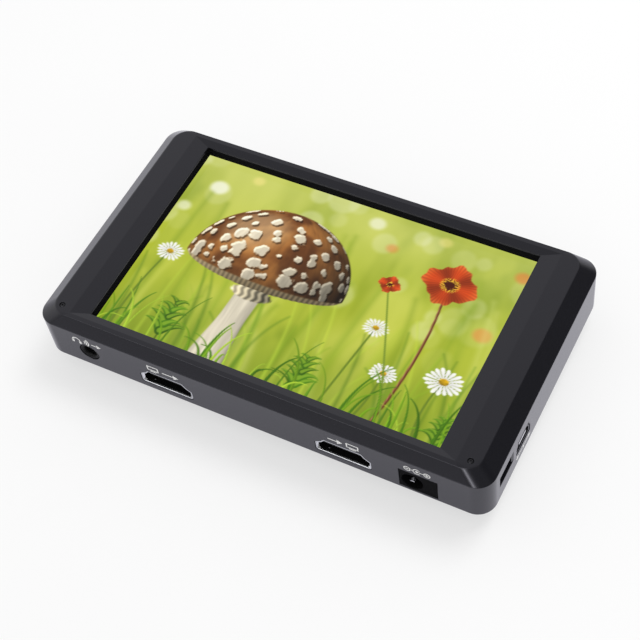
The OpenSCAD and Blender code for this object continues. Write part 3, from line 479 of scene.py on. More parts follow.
# Each finish: what makes it, its colour as a hex code or as one of the user's, its roughness, and what
# differs from the maker's defaults. Grain and relief are in mm.
FINISHES = {
    # Satin two-part paint over moulded ABS: a near black that shows the floor and the sky of the studio
    # as soft, slightly grained reflections
    "satin_paint": (moulded, "paint", 0.15, {
        "grain": 0.6, "relief": 0.001, "spread": 0.03, "ior": 1.45, "vary": 0.012,
        "sheen": (0.88, 0.87, 0.97)}),
    # Spark-textured black ABS: even, dull gloss with a visible fine grain
    "textured_abs": (moulded, "moulding", 0.46, {"grain": 0.4, "relief": 0.02}),
    # Silicone keypad rubber: matt black
    "key_rubber": (moulded, "#171718", 0.55, {"grain": 0.25, "relief": 0.008, "ior": 1.41}),
    # Glass-filled liquid crystal polymer of a socket's insulator: dull black with pale fibres
    "glass_filled_polymer": (moulded, "#0f0f11", 0.45, {"grain": 0.2, "relief": 0.004, "spread": 0.3}),
    # Glass-filled PBT: its fibres scatter the gloss, so that it stays black beside the satin paint
    "dull_pbt": (moulded, "#0b0b0c", 0.75, {"grain": 0.2, "relief": 0.004, "gloss": 0.045}),
    # Black nylon: dull, but not as black as the power socket
    "jack_nylon": (moulded, "#101011", 0.5, {"grain": 0.2, "relief": 0.004, "gloss": 0.12}),
    # Closed-cell urethane foam: very dark and matt
    "urethane_foam": (moulded, "#070708", 0.9, {
        "grain": 0.3, "relief": 0.03, "spread": 0.25, "gloss": 0.1}),
    # Moulded epoxy of a chip package: dark grey with a dull gloss
    "moulded_epoxy": (moulded, "#1c1d1f", 0.5, {"grain": 0.15, "relief": 0.004}),
    # Natural nylon of a small connector: warm white
    "natural_nylon": (moulded, "#e4dfd0", 0.4, {"grain": 0.5, "relief": 0.002, "spread": 0.04}),
    # Pad-printed white ink: thin and matt, with uneven cover
    "pad_print_ink": (moulded, "ink", 0.6, {"grain": 0.2, "relief": 0.001, "spread": 0.03}),
    # Diffuser sheet of the backlight: matt white
    "diffuser_sheet": (moulded, "#f2f2ee", 0.6, {"grain": 0.3, "relief": 0.001, "spread": 0.03}),
    # Polyimide film of the flat cable: amber, fairly glossy
    "polyimide_film": (moulded, "#a9682a", 0.3, {"grain": 0.6, "relief": 0.002, "spread": 0.15}),
    # Soft PVC of the leads: black with a slight gloss
    "soft_pvc": (moulded, "#28282a", 0.4, {"grain": 0.5, "relief": 0.004}),
    # Polished acrylic of the light pipe: milky at the end that shows
    "frosted_acrylic": (moulded, "#c9d3d6", 0.25, {"grain": 0.3, "relief": 0.003, "spread": 0.06}),
    # Black oxide steel of small screws: a dark metal with a dull sheen
    "black_oxide_steel": (metal, "#3a3a3d", 0.35, {}),
    # Turned stainless steel: grey, with marks round the screw
    "stainless_steel": (metal, "#b9babb", 0.25, {"stretch": (1, 1, 4)}),
    # Tinned sheet steel of the socket shells: bright, with rolling marks along the shell
    "tinned_steel": (metal, "tin", 0.2, {"stretch": (4, 0.5, 4)}),
    # Tin lighter than the shells' tin, a painted highlight at the sockets' mouths, the service tongue's
    # front edge and the power pin's tip
    "bright_tin": (metal, "#ececee", 0.14, {}),
    # Dull nickel plating over a brushed shell: greyer than tin
    "nickel_plate": (metal, "#77787b", 0.36, {"stretch": (0.5, 4, 4)}),
    # Nickel darkened nearly to the socket's black, painted shade on the power pin and the dimples inside the
    # video sockets; its gloss still gives a sharp glint
    "dark_nickel": (metal, "#3a3a3c", 0.16, {}),
    # Gold darkened to brown, painted shade on the contacts deep in the video sockets
    "dark_gold": (metal, "#4a3a1e", 0.4, {}),
    # Gold over nickel on stamped contacts: warm yellow
    "gold_plate": (metal, "gold", 0.3, {}),
    # Turned brass: warm, with fine rings
    "turned_brass": (metal, "brass", 0.24, {"stretch": (6, 1, 1)}),
    # Drawn spring steel wire: bright grey
    "spring_wire": (metal, "#a9acae", 0.25, {}),
    # Clear anodised aluminium of the heat sink, extruded along Y: pale grey with long lines
    "anodised_aluminium": (metal, "#9b9ea0", 0.38, {"stretch": (5, 0.3, 5)}),
    # Solder mask: green, with the copper tracks showing through
    "solder_mask": (circuit_lacquer, "board", 0.3, {}),
    # Lit panel behind low-reflection glass: the picture over a black that barely reflects
    "lit_display": (lit_panel, "#0a0a0b", 0.08, {}),
}
MADE = {}


def finish_of(name):
    """Finish of that name, made once."""
    if name not in MADE:
        maker, base, roughness, rest = FINISHES[name]
        base = linear(base) if base[0] == "#" else getattr(bpy.context.scene.monitor_finishes, base)
        MADE[name] = bpy.data.materials.new(name)
        maker(empty_tree(MADE[name]), base, roughness, **rest)
    return MADE[name]


# ---- front ----

LIP_INSET, LIP_THICK, LIP_DEPTH = 1.7, 0.8, 1.4  # mm, of the lip that goes into the housing
BEZEL_SCREW = 0.95  # mm, radius of the bezel screws' heads in the construction


def bezel_profile(sizes):
    """Section of the bezel as rows of half length, half width, corner radius and height, from the seam up
    the outer slope, over the flat face, down the inner slope and back under the skin and round the lip."""
    face_x, face_y = BODY_X - sizes.slope_end, BODY_Y - sizes.slope_side
    lip_x, lip_y, lip_z = BODY_X - LIP_INSET, BODY_Y - LIP_INSET, SEAM_Z - LIP_DEPTH
    border_x, border_y = sizes.opening_x + sizes.inner_end, sizes.opening_y + sizes.inner_side
    rows = np.array([
        (BODY_X, BODY_Y, sizes.body_radius, SEAM_Z, 0.2),
        (face_x, face_y, sizes.flat_radius, FRONT_Z, sizes.outer_round),
        (border_x, border_y, 0.2, FRONT_Z, sizes.inner_round),
        (sizes.opening_x, sizes.opening_y, 0.06, FRONT_Z - sizes.inner_depth, 0.08),
        (sizes.opening_x, sizes.opening_y, 0.06, SKIN_Z, 0.04),
        (face_x, face_y - 0.5, 3, SKIN_Z, 0),
        (face_x, face_y - 0.5, 3, SEAM_Z, 0),
        (lip_x - LIP_THICK, lip_y - LIP_THICK, 2.5, SEAM_Z, 0),
        (lip_x - LIP_THICK, lip_y - LIP_THICK, 2.5, lip_z, 0),
        (lip_x, lip_y, 3.3, lip_z, 0),
        (lip_x, lip_y, 3.3, SEAM_Z, 0),
    ])
    return softened(rows[:, :4], rows[:, 4])


def bezel_screw():
    """Distances of the bezel screws from the middle, along X and Y."""
    return abs(corners("bezel_screws")[0][:2] + BEZEL_SCREW)


class MONITOR_OT_bezel(Operator):
    """Front bezel: one surface round the opening, with its screw holes and posts"""

    bl_idname = "monitor.bezel"
    bl_label = "Front bezel"

    def execute(self, context):
        sizes = in_mm(context.scene.monitor_bezel)
        rings = []
        for half_x, half_y, radius, height in bezel_profile(sizes):
            flat = outline(half_x, half_y, max(radius, 0.02))
            rings.append(np.column_stack([flat, np.full(len(flat), height)]))
        hole_x, hole_y = bezel_screw()
        head, seat, above = sizes.screw_radius + 0.13, SKIN_Z + 0.08, FRONT_Z + 1
        cut = [(AXIS, seat), (head, seat), (head, FRONT_Z - 0.05), (head + 0.05, FRONT_Z),
               (head + 0.1, above), (AXIS, above)]
        holes = [built(*lathe(cut, at=(side * hole_x, -hole_y, 0))) for side in (-1, 1)]
        shell = carved(built(*skin(rings, closed=True)), holes)
        place("front_bezel_finish", shell, "satin_paint", "bezel_paint", "front_bezel", even=True)
        low, bore, wall = corners("front_bezel")[0][2], 0.8, 2.4
        tube = [(bore, SKIN_Z - 1), (bore, low), (wall, low), (wall, SKIN_Z - 0.01), (bore, SKIN_Z - 0.01)]
        posts = [lathe(tube, at=(x, y, 0)) for x in (-hole_x, hole_x) for y in (-hole_y, hole_y)]
        place("bezel_posts", together(posts), "satin_paint", "bezel_paint", even=True)
        return {"FINISHED"}


# ---- picture on the screen ----


def cloud(x, y, size, seed):
    """Soft random field from 0 to 1: random heights on a square lattice of that size in mm, blended
    between neighbours with a smooth step."""
    heights = np.random.default_rng(seed).random((64, 64))
    u = x / size + 20
    v = y / size + 20
    i = np.floor(u).astype(int)
    j = np.floor(v).astype(int)
    s = (u - i) ** 2 * (3 - 2 * (u - i))
    t = (v - j) ** 2 * (3 - 2 * (v - j))
    low = heights[i % 64, j % 64] * (1 - s) + heights[(i + 1) % 64, j % 64] * s
    high = heights[i % 64, (j + 1) % 64] * (1 - s) + heights[(i + 1) % 64, (j + 1) % 64] * s
    return low * (1 - t) + high * t


def mottle(x, y, size, seed):
    """Three clouds of halving size added up, from about 0 to 1."""
    return (cloud(x, y, size, seed) + cloud(x, y, size / 2, seed + 1) / 2
            + cloud(x, y, size / 4, seed + 2) / 4) / 1.75


def ramp(value, low, high):
    """Smooth step from 0 at low to 1 at high."""
    t = np.clip((value - low) / (high - low), 0, 1)
    return t * t * (3 - 2 * t)


def shade(code):
    """sRGB colour of a hex code, from 0 to 1."""
    return np.array([int(code[i:i + 2], 16) for i in (1, 3, 5)]) / 255


def plain(x, code):
    """Image of one colour."""
    return np.ones(x.shape + (3,)) * shade(code)


def lay(image, mask, paint):
    """Lays a paint, which is a hex code or a colour, over the image where the mask is 1."""
    paint = shade(paint) if isinstance(paint, str) else paint
    image[:] = image * (1 - mask[..., None]) + paint * mask[..., None]


def stroke(image, x, y, path, wide, narrow, paint, cover=1.0, soft=0.25):
    """Lays a tapered stroke along a parabola through the path's start, bend and end over the image: each
    place takes as much paint as it lies within the half width, which goes from wide to narrow, of the
    nearest of 18 short straight pieces. Only the part of the picture near the path is worked out."""
    t = np.linspace(0, 1, 19)[:, None]
    start, bend, end = (np.array(p, float) for p in path)
    points = (1 - t) ** 2 * start + 2 * t * (1 - t) * bend + t ** 2 * end
    low = points.min(0) - wide - soft
    high = points.max(0) + wide + soft
    rows = np.flatnonzero((y[:, 0] > low[1]) & (y[:, 0] < high[1]))
    columns = np.flatnonzero((x[0] > low[0]) & (x[0] < high[0]))
    if len(rows) == 0 or len(columns) == 0:
        return
    part = np.ix_(rows, columns)
    u, v, near = x[part], y[part], image[part]
    best = np.full(u.shape, -1e3)
    for k, (from_x, from_y) in enumerate(points[:-1]):
        step = points[k + 1] - points[k]
        along = np.clip(((u - from_x) * step[0] + (v - from_y) * step[1]) / (step @ step), 0, 1)
        gap = np.hypot(u - from_x - along * step[0], v - from_y - along * step[1])
        best = np.maximum(best, wide + (narrow - wide) * (k + along) / (len(points) - 1) - gap)
    lay(near, ramp(best, -soft, soft) * cover, paint)
    image[part] = near


def meadow(x, y):
    """Blurred meadow: greens mixed by clouds drawn out upwards, deeper at the foot and paler at the top,
    with soft discs of light and of far flowers."""
    streaks = 0.55 * mottle(x * 2.6, y * 0.8, 17, 11) + 0.45 * mottle(x, y, 34, 15)
    image = plain(x, "#86991b")
    for mask, code in (
            (ramp(streaks, 0.22, 0.62), "#b3bf3a"),
            (ramp(mottle(x * 1.3, y, 24, 31), 0.48, 0.8) * 0.75, "#cfd45a"),
            (ramp(mottle(x * 1.6, y, 15, 37), 0.55, 0.85) * 0.5, "#6f8a1a"),
            (ramp(y, -4, 36) * 0.5, "#d3d888"), (ramp(-y, 4, 34) * 0.4, "#55741a")):
        lay(image, mask, code)
    random = np.random.default_rng(5)
    for _ in range(34):
        at = random.uniform((-50, -8), (50, 31))
        size = random.uniform(1.3, 4.6)
        glow = ramp(size - np.hypot(x - at[0], y - at[1]), -1.1, 0.5) * random.uniform(0.08, 0.32)
        lay(image, glow, "#f4f5dc")
    for at_x, at_y, size, code, cover in (
            (-40, 21, 2.6, "#fbfbf0", 0.75), (-46, 12, 1.9, "#fbfbf0", 0.6), (5, 26, 2.2, "#fbfbf0", 0.6),
            (44, 4, 2.4, "#f08a4a", 0.55), (46.5, 24, 2.0, "#f2703a", 0.5), (12, 20, 1.5, "#f2703a", 0.4),
            (-31, 27, 1.6, "#f6e58a", 0.6), (24, 27, 1.7, "#f6e58a", 0.5)):
        lay(image, ramp(size - np.hypot(x - at_x, (y - at_y) * 1.2), -1.0, 0.9) * cover, code)
    return image


def grass(image, x, y, seed, count, tops, half, soft, cover, codes):
    """Lays blades of grass over the foot of the picture, each with a paler line along its left side."""
    random = np.random.default_rng(seed)
    for _ in range(count):
        foot = random.uniform(-53, 53)
        sway = random.uniform(-1, 1) * 8
        top = random.uniform(*tops)
        thick = half * random.uniform(0.6, 1.3)
        tint = shade(codes[int(random.integers(len(codes)))]) * random.uniform(0.88, 1.08)
        for shift, part, gain in ((0, 1, 1), (-0.35 * thick, 0.4, 1.35)):
            start = foot + shift
            path = ((start, -32), (start + sway * 0.1, (top - 32) / 2 + 4), (foot + sway + shift, top))
            stroke(image, x, y, path, thick * part, thick * 0.15 * part, np.clip(tint * gain, 0, 1),
                   cover if part == 1 else cover * 0.6, soft)


def herb(image, x, y, at_x, at_y, size, seed):
    """Small plant: pairs of broad leaves up a stem, each a short tapered stroke with a pale midrib."""
    random = np.random.default_rng(seed)
    path = ((at_x, -32), (at_x, at_y - size), (at_x + 0.4, at_y))
    stroke(image, x, y, path, 0.32, 0.2, "#5f7a1c", 1, 0.16)
    for level in np.linspace(0, 1, 5):
        foot = np.array((at_x, -31 + (at_y + 31) * (0.35 + 0.65 * level)))
        for side in (-1, 1):
            reach = size * (1.1 - 0.55 * level) * random.uniform(0.8, 1.15)
            tip = foot + (side * reach, reach * random.uniform(0.2, 0.6))
            bend = foot + (side * reach * 0.5, reach * 0.55)
            dark = shade("#3f6a12") * random.uniform(0.85, 1.25)
            stroke(image, x, y, (foot, bend, tip), reach * 0.24, 0.08, dark, 1, 0.14)
            stroke(image, x, y, (foot, bend + (0, 0.25), tip), reach * 0.13, 0.04, "#8fb52e", 0.75, 0.2)


def toadstool(image, x, y, at_x, at_y, wide, tall):
    """Brown toadstool with cream scales: a stem with a skirt, a band of gills, and a cap that is shaded as
    half an ellipsoid lit from above on the left."""
    u = (x - at_x) / wide
    v = (y - at_y) / tall
    half = 0.155 * wide * (1 + 0.4 * ramp(at_y - y, 14, 31 + at_y))
    across = (x - at_x - 0.05 * (y - at_y)) / half
    fibre = mottle(x * 3.2, y * 0.3, 3, 41)
    round_light = np.sqrt(np.maximum(0, 1 - (across + 0.25) ** 2 / 1.7))
    bright = 0.4 + 0.42 * round_light + 0.22 * fibre - 0.3 * ramp(y, at_y - 9, at_y)
    lay(image, ramp(1 - abs(across), -0.06, 0.08) * (y < at_y),
        np.clip(shade("#f3e9d0") * bright[..., None], 0, 1))
    low = -0.5 * np.abs(mottle(x * 2, y, 1.6, 43) - 0.5) - 0.1
    skirt = 1 - ((x - at_x) / (0.3 * wide)) ** 2 - ((y - at_y + 7) / 2.6) ** 2 + low
    fold = 0.72 + 0.22 * np.sin((x - at_x) * 3.1 + np.cos(y * 2)) - 0.2 * across
    lay(image, ramp(skirt, 0, 0.3) * (y < at_y - 5.4), np.clip(shade("#eadcb8") * fold[..., None], 0, 1))
    rays = 0.5 + 0.5 * np.sin(u / np.sqrt(np.maximum(0.05, 1 - v ** 2)) * 105)
    lay(image, ramp(1 - u ** 2 - (v / 0.27) ** 2, 0, 0.06) * (v < 0.02),
        shade("#cdb58a") * (0.5 + 0.22 * rays + 0.9 * v + 0.15 * (1 - u))[..., None])
    rim = -0.17 * np.sqrt(np.maximum(0, 1 - u ** 2))
    cap = ramp(1 - u ** 2 - v ** 2, 0, 0.035) * ramp(v - rim, -0.015, 0.02)
    depth = np.sqrt(np.maximum(0, 1 - u ** 2 - v ** 2))
    turn = np.arctan2(u, depth)
    rise = np.arcsin(np.clip(v, -1, 1))
    light = np.clip(-0.4 * u + 0.62 * v + 0.68 * depth, 0, 1)
    fine = mottle(turn * 60, rise * 14, 3, 53)
    brown = plain(x, "#6e401d")
    lay(brown, ramp(mottle(turn * 16, rise * 16, 5, 51), 0.3, 0.75), "#ad7238")
    brown *= (0.26 + 0.86 * light + 0.22 * (fine - 0.5))[..., None]
    lay(brown, ramp(light, 0.86, 1.0) * 0.4, "#f6e2ba")
    random = np.random.default_rng(9)
    scales = np.zeros(x.shape)
    edge = mottle(x, y, 1.3, 61) * 0.09
    for level, count in zip((-0.06, 0.14, 0.33, 0.52, 0.72, 0.93, 1.2), (13, 13, 11, 10, 8, 6, 3)):
        for k in range(count):
            at_turn = (k + 0.5 + random.uniform(-0.3, 0.3)) / count * 2.9 - 1.45
            at_rise = level + random.uniform(-0.06, 0.06)
            size = random.uniform(0.03, 0.1)
            near = np.hypot((turn - at_turn) * np.cos(rise) ** 0.5, rise - at_rise)
            scales = np.maximum(scales, ramp(size - near - edge + 0.045, -0.012, 0.012))
    moved = np.roll(scales, (-2, 2), (0, 1))
    brown *= (1 - 0.45 * np.clip(moved - scales, 0, 1))[..., None]
    bright = 0.42 + 0.56 * light + 0.2 * np.clip(scales - moved, 0, 1) + 0.16 * (fine - 0.5)
    lay(brown, scales, shade("#efe3c8") * bright[..., None])
    lay(image, cap, np.clip(brown, 0, 1))


def poppy(image, x, y, at_x, at_y, size):
    """Orange poppy: petals whose edge is a wave round the middle, darker towards the folds."""
    turn = np.arctan2(y - at_y, x - at_x)
    far = np.hypot(x - at_x, (y - at_y) * 1.15) / size
    edge = (0.84 + 0.1 * np.cos(4 * turn + 0.6) + 0.04 * np.cos(11 * turn + 2)
            + 0.08 * (mottle(x, y, 1.5, 71) - 0.5))
    folds = 0.5 + 0.5 * np.cos(4 * turn + 0.6)
    veins = 0.5 + 0.5 * np.sin(44 * turn + 5 * mottle(x, y, 3, 73))
    bright = 0.55 + 0.34 * folds * (0.6 + 0.4 * far) + 0.09 * veins - 0.16 * ramp(at_y - y, 0, size) * folds
    petal = shade("#f2541c") * bright[..., None]
    lay(petal, ramp(far, 0.6, 1.0) * 0.55, shade("#ff9348") * (0.7 + 0.3 * veins)[..., None])
    lay(image, ramp(edge - far, -0.02, 0.03), np.clip(petal, 0, 1))
    lay(image, ramp(0.25 - far, -0.04, 0.06), "#4a1608")
    dots = ramp(0.12 - abs(far - 0.24), 0, 0.08) * ramp(np.sin(30 * turn), 0.1, 0.6)
    lay(image, dots, "#f6c23a")


def daisy(image, x, y, at_x, at_y, size, turn_by, soft):
    """White daisy: narrow petals as lobes of a cosine round the middle, and a domed yellow heart."""
    turn = np.arctan2((y - at_y) * 1.3, x - at_x) + turn_by
    far = np.hypot(x - at_x, (y - at_y) * 1.3) / size
    lobes = np.abs(np.cos(9 * turn))
    edge = 0.62 + 0.38 * lobes ** 0.5 + 0.06 * np.cos(5 * turn)
    white = shade("#fcfcf6") * (0.74 + 0.16 * lobes + 0.12 * far)[..., None]
    lay(image, ramp(edge - far, -soft, soft) * ramp(lobes, 0.1, 0.35 + soft), np.clip(white, 0, 1))
    heart = 0.8 + 0.25 * (mottle(x, y, 0.8, 83) - 0.3) - 0.8 * far * (y < at_y) + 0.25 * (y > at_y) * far
    lay(image, ramp(0.26 - far, -0.04, 0.05), np.clip(shade("#eebb1a") * heart[..., None], 0, 1))


def painted(x, y):
    """sRGB colours of the picture at places in mm from its middle."""
    image = meadow(x, y)
    grass(image, x, y, 20, 46, (-18, 20), 0.9, 1.7, 0.3, ("#5f7f14", "#c6cf58", "#8da32a", "#d9de84"))
    grass(image, x, y, 21, 44, (-20, 2), 0.5, 0.7, 0.45, ("#54791a", "#a9bf3c", "#7d9a24"))
    for foot, bend, head, size, turn_by, soft in (
            (15, 17, (19, -4), 3.4, 0.1, 0.16), (-44, -45, (-41.5, -3), 3.8, 0.9, 0.12),
            (41, 38, (41, -12), 5.0, 0.5, 0.05), (24, 27, (26.5, -15.5), 3.6, 0.2, 0.06)):
        path = ((foot, -32), (bend, (head[1] - 32) / 2), head)
        stroke(image, x, y, path, 0.34, 0.24, "#6c8426", 1, 0.2)
        daisy(image, x, y, *head, size, turn_by, soft)
    stroke(image, x, y, ((29, -32), (34, -8), (30.5, 12)), 0.42, 0.3, "#6d3a22", 1, 0.16)
    stroke(image, x, y, ((28.8, -32), (33.7, -8), (30.3, 12)), 0.14, 0.1, "#b98a62", 0.8, 0.14)
    stroke(image, x, y, ((33, -32), (27, -16), (16.6, 8)), 0.32, 0.2, "#7c9430", 1, 0.16)
    poppy(image, x, y, 30.5, 15, 8.2)
    poppy(image, x, y, 16.4, 9.4, 3.4)
    toadstool(image, x, y, -15, 0, 23, 21)
    for plant in ((-31, -17, 5.5, 90), (8, -19, 5, 91), (46, -22, 4.5, 92)):
        herb(image, x, y, *plant)
    grass(image, x, y, 22, 58, (-27, -12), 0.42, 0.16, 0.95, ("#3f6a10", "#6c951a", "#9dbb34", "#55801a"))
    return np.clip(image, 0, 1)


class MONITOR_OT_screen(Operator):
    """Screen: the glass with its black border and the picture, and the foam frame round it"""

    bl_idname = "monitor.screen"
    bl_label = "Screen"

    def execute(self, context):
        sizes = context.scene.monitor_screen
        low, high = corners("lcd_panel")
        edge = 0.02
        spans = []
        for half, cells, start, end in ((sizes.picture_x / MM, sizes.columns, low[0], high[0]),
                                        (sizes.picture_y / MM, sizes.rows, low[1], high[1])):
            picture = np.linspace(-half, half, cells + 1)
            spans.append(np.concatenate([[start, -half - edge], picture, [half + edge, end]]))
        across, up = np.meshgrid(*spans)
        rows, columns = across.shape
        top = np.stack([across, up, np.full(across.shape, high[2])], -1).reshape(-1, 3)
        rim = np.concatenate([
            np.arange(columns), np.arange(1, rows) * columns + columns - 1,
            (rows - 1) * columns + np.arange(columns - 2, -1, -1), np.arange(rows - 2, 0, -1) * columns])
        under = top[rim] * (1, 1, 0) + (0, 0, low[2])
        foot = len(top) + np.arange(len(rim))
        walls = np.stack([rim, foot, np.roll(foot, -1), np.roll(rim, -1)], -1)
        faces = grid_faces(rows, columns).tolist() + walls.tolist() + [foot[::-1].tolist()]
        mesh = bpy.data.meshes.new("screen")
        mesh.from_pydata((np.vstack([top, under]) * MM).tolist(), [], faces)
        shown = (abs(across) < spans[0][-2] - edge / 2) & (abs(up) < spans[1][-2] - edge / 2)
        srgb = painted(across, up) * shown[..., None]
        glow = np.where(srgb <= 0.04045, srgb / 12.92, ((srgb + 0.055) / 1.055) ** 2.4).reshape(-1, 3)
        values = np.zeros((len(top) + len(under), 4), np.float32)
        values[:, 3] = 1
        values[:len(top), :3] = glow
        picture = mesh.color_attributes.new("Picture", "FLOAT_COLOR", "POINT")
        picture.data.foreach_set("color", values.ravel())
        lit = place("screen", mesh, "lit_display", "screen_glass", "lcd_panel")
        lit.visible_diffuse = lit.visible_glossy = False
        dress("lcd_gasket", "urethane_foam", "foam_black")
        return {"FINISHED"}


# ---- housing, ports and prints ----


class MONITOR_OT_housing(Operator):
    """Rear housing: its outer edges and the rims of its openings are rounded"""

    bl_idname = "monitor.housing"
    bl_label = "Rear housing"

    def execute(self, context):
        def square_back(points):
            walls = off_outline(points[:, 0], points[:, 1]) < 0.02
            foot = points[walls, 2].min()
            points[walls & (abs(points[:, 2] - foot) < 0.02), 2] = BACK_Z
            return points

        def share_of(edge):
            x, y, z = middle_of(edge)
            if off_outline(x, y) < 0.05:
                return 1 if z < BACK_Z + 0.05 else 0.4
            return 0.35 if z < BACK_Z + 0.02 or abs(y - BODY_Y + 0.8) < 0.02 else 0

        refined("rear_housing", "satin_paint", "housing_paint", 0.3, share_of=share_of, reshape=square_back)
        end, deep, outer = corners("service_tongue")[0][1] - 2.7, BODY_X - 2.58, BODY_X - 0.03
        flat = [(outer, end), (deep, end), (deep, end - 0.5), (BODY_X - 0.25, end - 0.5)]
        rise = middle("service_shell")[2] + 0.75 + np.array((-1.95, 1.95))
        place("hood_slot_ramp", prism(flat, *rise), "satin_paint", "housing_paint", even=True)
        return {"FINISHED"}


# Right halves of the sockets' outlines, from the bottom up, in mm from the middle
VIDEO_OUTLINE = ((7, -2.8), (7.5, -2.3), (7.5, 0.5), (6, 1.5), (5, 2.8))
SERVICE_OUTLINE = ((3.85, -1.95), (3.85, 0.2), (3.05, 1), (3.05, 1.95))
# Rows of the rings inside them, in mm: how far in at the sides, how far in at the top and bottom, depth
# The mouth rows make a ring of lighter tin, a painted highlight; the lining rows make black sleeves over the
# shells' insides, painted shade
VIDEO_MOUTH = ((0.32, 0.32, 0.04), (0.65, 0.34, 0.5), (0.32, 0.32, 0.5))
VIDEO_SHADE_LINING = ((0.65, 0.4, 0.5), (0.65, 0.4, 7.3), (0.34, 0.34, 7.3), (0.34, 0.34, 0.5))
SERVICE_SHADE_LINING = ((0.34, 0.34, 0.3), (0.34, 0.34, 5.9), (0.28, 0.28, 5.9), (0.28, 0.28, 0.3))
# Radii and heights, in mm: the dimple that holds a plug, over the shell's floor, and the tip of the power
# pin, behind its end
DIMPLE = ((AXIS, 0.14), (0.18, 0.13), (0.34, 0.08), (0.42, 0), (0.45, -0.1), (AXIS, -0.1))
PIN_TIP = ((AXIS, 0.3), (0.5, 0.35), (0.68, 0.55), (0.85, 1.2))
VIDEO_HEIGHT = 5.6  # mm, of a video socket's shell without its legs
JACK_HOLE = 2.2  # mm, radius inside which the jack's edges get their full rounding


def sleeve(name, half, centre, mouth, rows, finish, slot, plane="XZ"):
    """Ring inside a socket. Each row of it is the socket's outline, drawn in by so much at the sides and
    at the top and bottom, at a depth behind the mouth. Sockets in the right wall open towards +X."""
    right = np.array(half, float)
    flat = np.vstack([right, right[::-1] * (-1, 1)])
    reach = abs(flat).max(0)
    rings = []
    for side, top, depth in rows:
        u, v = (flat * (reach - (side, top)) / reach + centre).T
        h = np.full(len(flat), mouth + (depth if plane == "XZ" else -depth))
        rings.append(np.stack((u, h, v) if plane == "XZ" else (h, u, v), -1))
    place(name, skin(rings, closed=True), finish, slot)


class MONITOR_OT_ports(Operator):
    """Sockets: shells, insulators, contacts, headphone jack, power socket and service port"""

    bl_idname = "monitor.ports"
    bl_label = "Ports"

    def execute(self, context):
        for name in ("video_out", "video_in"):
            refined(f"{name}_shell", "tinned_steel", "tinned_steel", 0.07)
            low, high = corners(f"{name}_shell")
            centre = np.array(((low[0] + high[0]) / 2, low[2] + VIDEO_HEIGHT / 2))
            # Each video socket gets a mouth of lighter tin, a painted highlight, and a black lining over the
            # shell's inside, painted shade
            for part, rows, finish, slot in (("mouth", VIDEO_MOUTH, "bright_tin", "tinned_steel"),
                                             ("lining", VIDEO_SHADE_LINING, "dull_pbt", "port_black")):
                sleeve(f"{name}_{part}", VIDEO_OUTLINE, centre, low[1], rows, finish, slot)
            # Dimple in darkened nickel: painted shade inside the socket
            dimple = lathe(np.add(DIMPLE, (0, low[2] + 0.4)), 24, at=(centre[0] - 4.55, low[1] + 1.5, 0))
            place(f"{name}_dimple", dimple, "dark_nickel", "tinned_steel")
            refined(f"{name}_tongue", "glass_filled_polymer", "port_black", 0.12)
        refined("service_shell", "nickel_plate", "tinned_steel", 0.06)
        refined("service_tongue", "dull_pbt", "port_black", 0.06)
        mouth, (_, at_y, at_z) = corners("service_shell")[1][0], middle("service_shell")
        # Strip of lighter tin along the tongue's front: a painted highlight
        back, front = corners("service_tongue")[1][0] - 0.3, mouth - 0.12
        edge = [(back, at_y - 2.1), (front, at_y - 2.1), (front, at_y + 2.1), (back, at_y + 2.1)]
        place("service_edge", prism(edge, at_z - 0.35, at_z + 0.4), "bright_tin", "tinned_steel")
        # Black lining over the service shell's inside: painted shade
        sleeve("service_lining", SERVICE_OUTLINE, (at_y, at_z), mouth, SERVICE_SHADE_LINING, "dull_pbt",
               "port_black", "YZ")
        face, jack = corners("headphone_jack")[0][1], middle("headphone_jack")

        def share_of(edge):
            x, y, z = middle_of(edge)
            if abs(y - face) > 0.02:
                return 0.15
            return 1 if math.hypot(x - jack[0], z - jack[2]) < JACK_HOLE else 0.25

        refined("headphone_jack", "jack_nylon", "port_black", 0.6, segments=3, share_of=share_of)
        refined("power_socket", "dull_pbt", "port_black", 0.14)
        low, high = corners("power_contacts")
        wide, at_x, at_z = (high[0] - low[0]) / 2, (low[0] + high[0]) / 2, (low[2] + high[2]) / 2
        # Half-moon of lighter tin over the pin's tip: a painted glint on the otherwise shaded pin
        turn = np.radians(np.linspace(20, 160, 9))
        glint_outline = np.stack([at_x + 0.68 * np.cos(turn), at_z - 0.2 + 0.5 * np.sin(turn)], -1)
        place("power_leaf", prism(glint_outline, low[1], low[1] + 0.4, "XZ"), "bright_tin", "tinned_steel")
        # The pin itself is darkened nickel: painted shade in the socket's bore
        pin = [(radius, low[1] + depth) for radius, depth in (*PIN_TIP, (wide, 2.2))]
        pin += [(wide, high[1]), (AXIS, high[1])]
        place("power_pin", lathe(pin, 40, "Y", (at_x, 0, at_z)), "dark_nickel", "steel_screw",
              "power_contacts")
        # The contacts take the darkened gold: painted shade deep in the sockets
        dress("video_contacts", "dark_gold", "gold_contact")
        return {"FINISHED"}


def ring_segment(at, radius, width, start, end, steps=24):
    """Flat outline of a stroke along an arc, between two angles in degrees."""
    turn = np.radians(np.linspace(start, end, steps))
    outer = np.stack([np.cos(turn), np.sin(turn)], -1) * (radius + width / 2)
    inner = np.stack([np.cos(turn), np.sin(turn)], -1)[::-1] * (radius - width / 2)
    return np.vstack([outer, inner]) + np.asarray(at)


def disc(at, radius, steps=20):
    """Flat outline of a disc."""
    turn = np.linspace(0, 2 * math.pi, steps, endpoint=False)
    return np.stack([np.cos(turn), np.sin(turn)], -1) * radius + np.asarray(at)


def bar(start, end, width):
    """Flat outline of a straight stroke with square ends."""
    start = np.asarray(start, float)
    end = np.asarray(end, float)
    along = (end - start) / np.linalg.norm(end - start)
    side = np.array([-along[1], along[0]]) * width / 2
    return np.array([start - side, end - side, end + side, start + side])


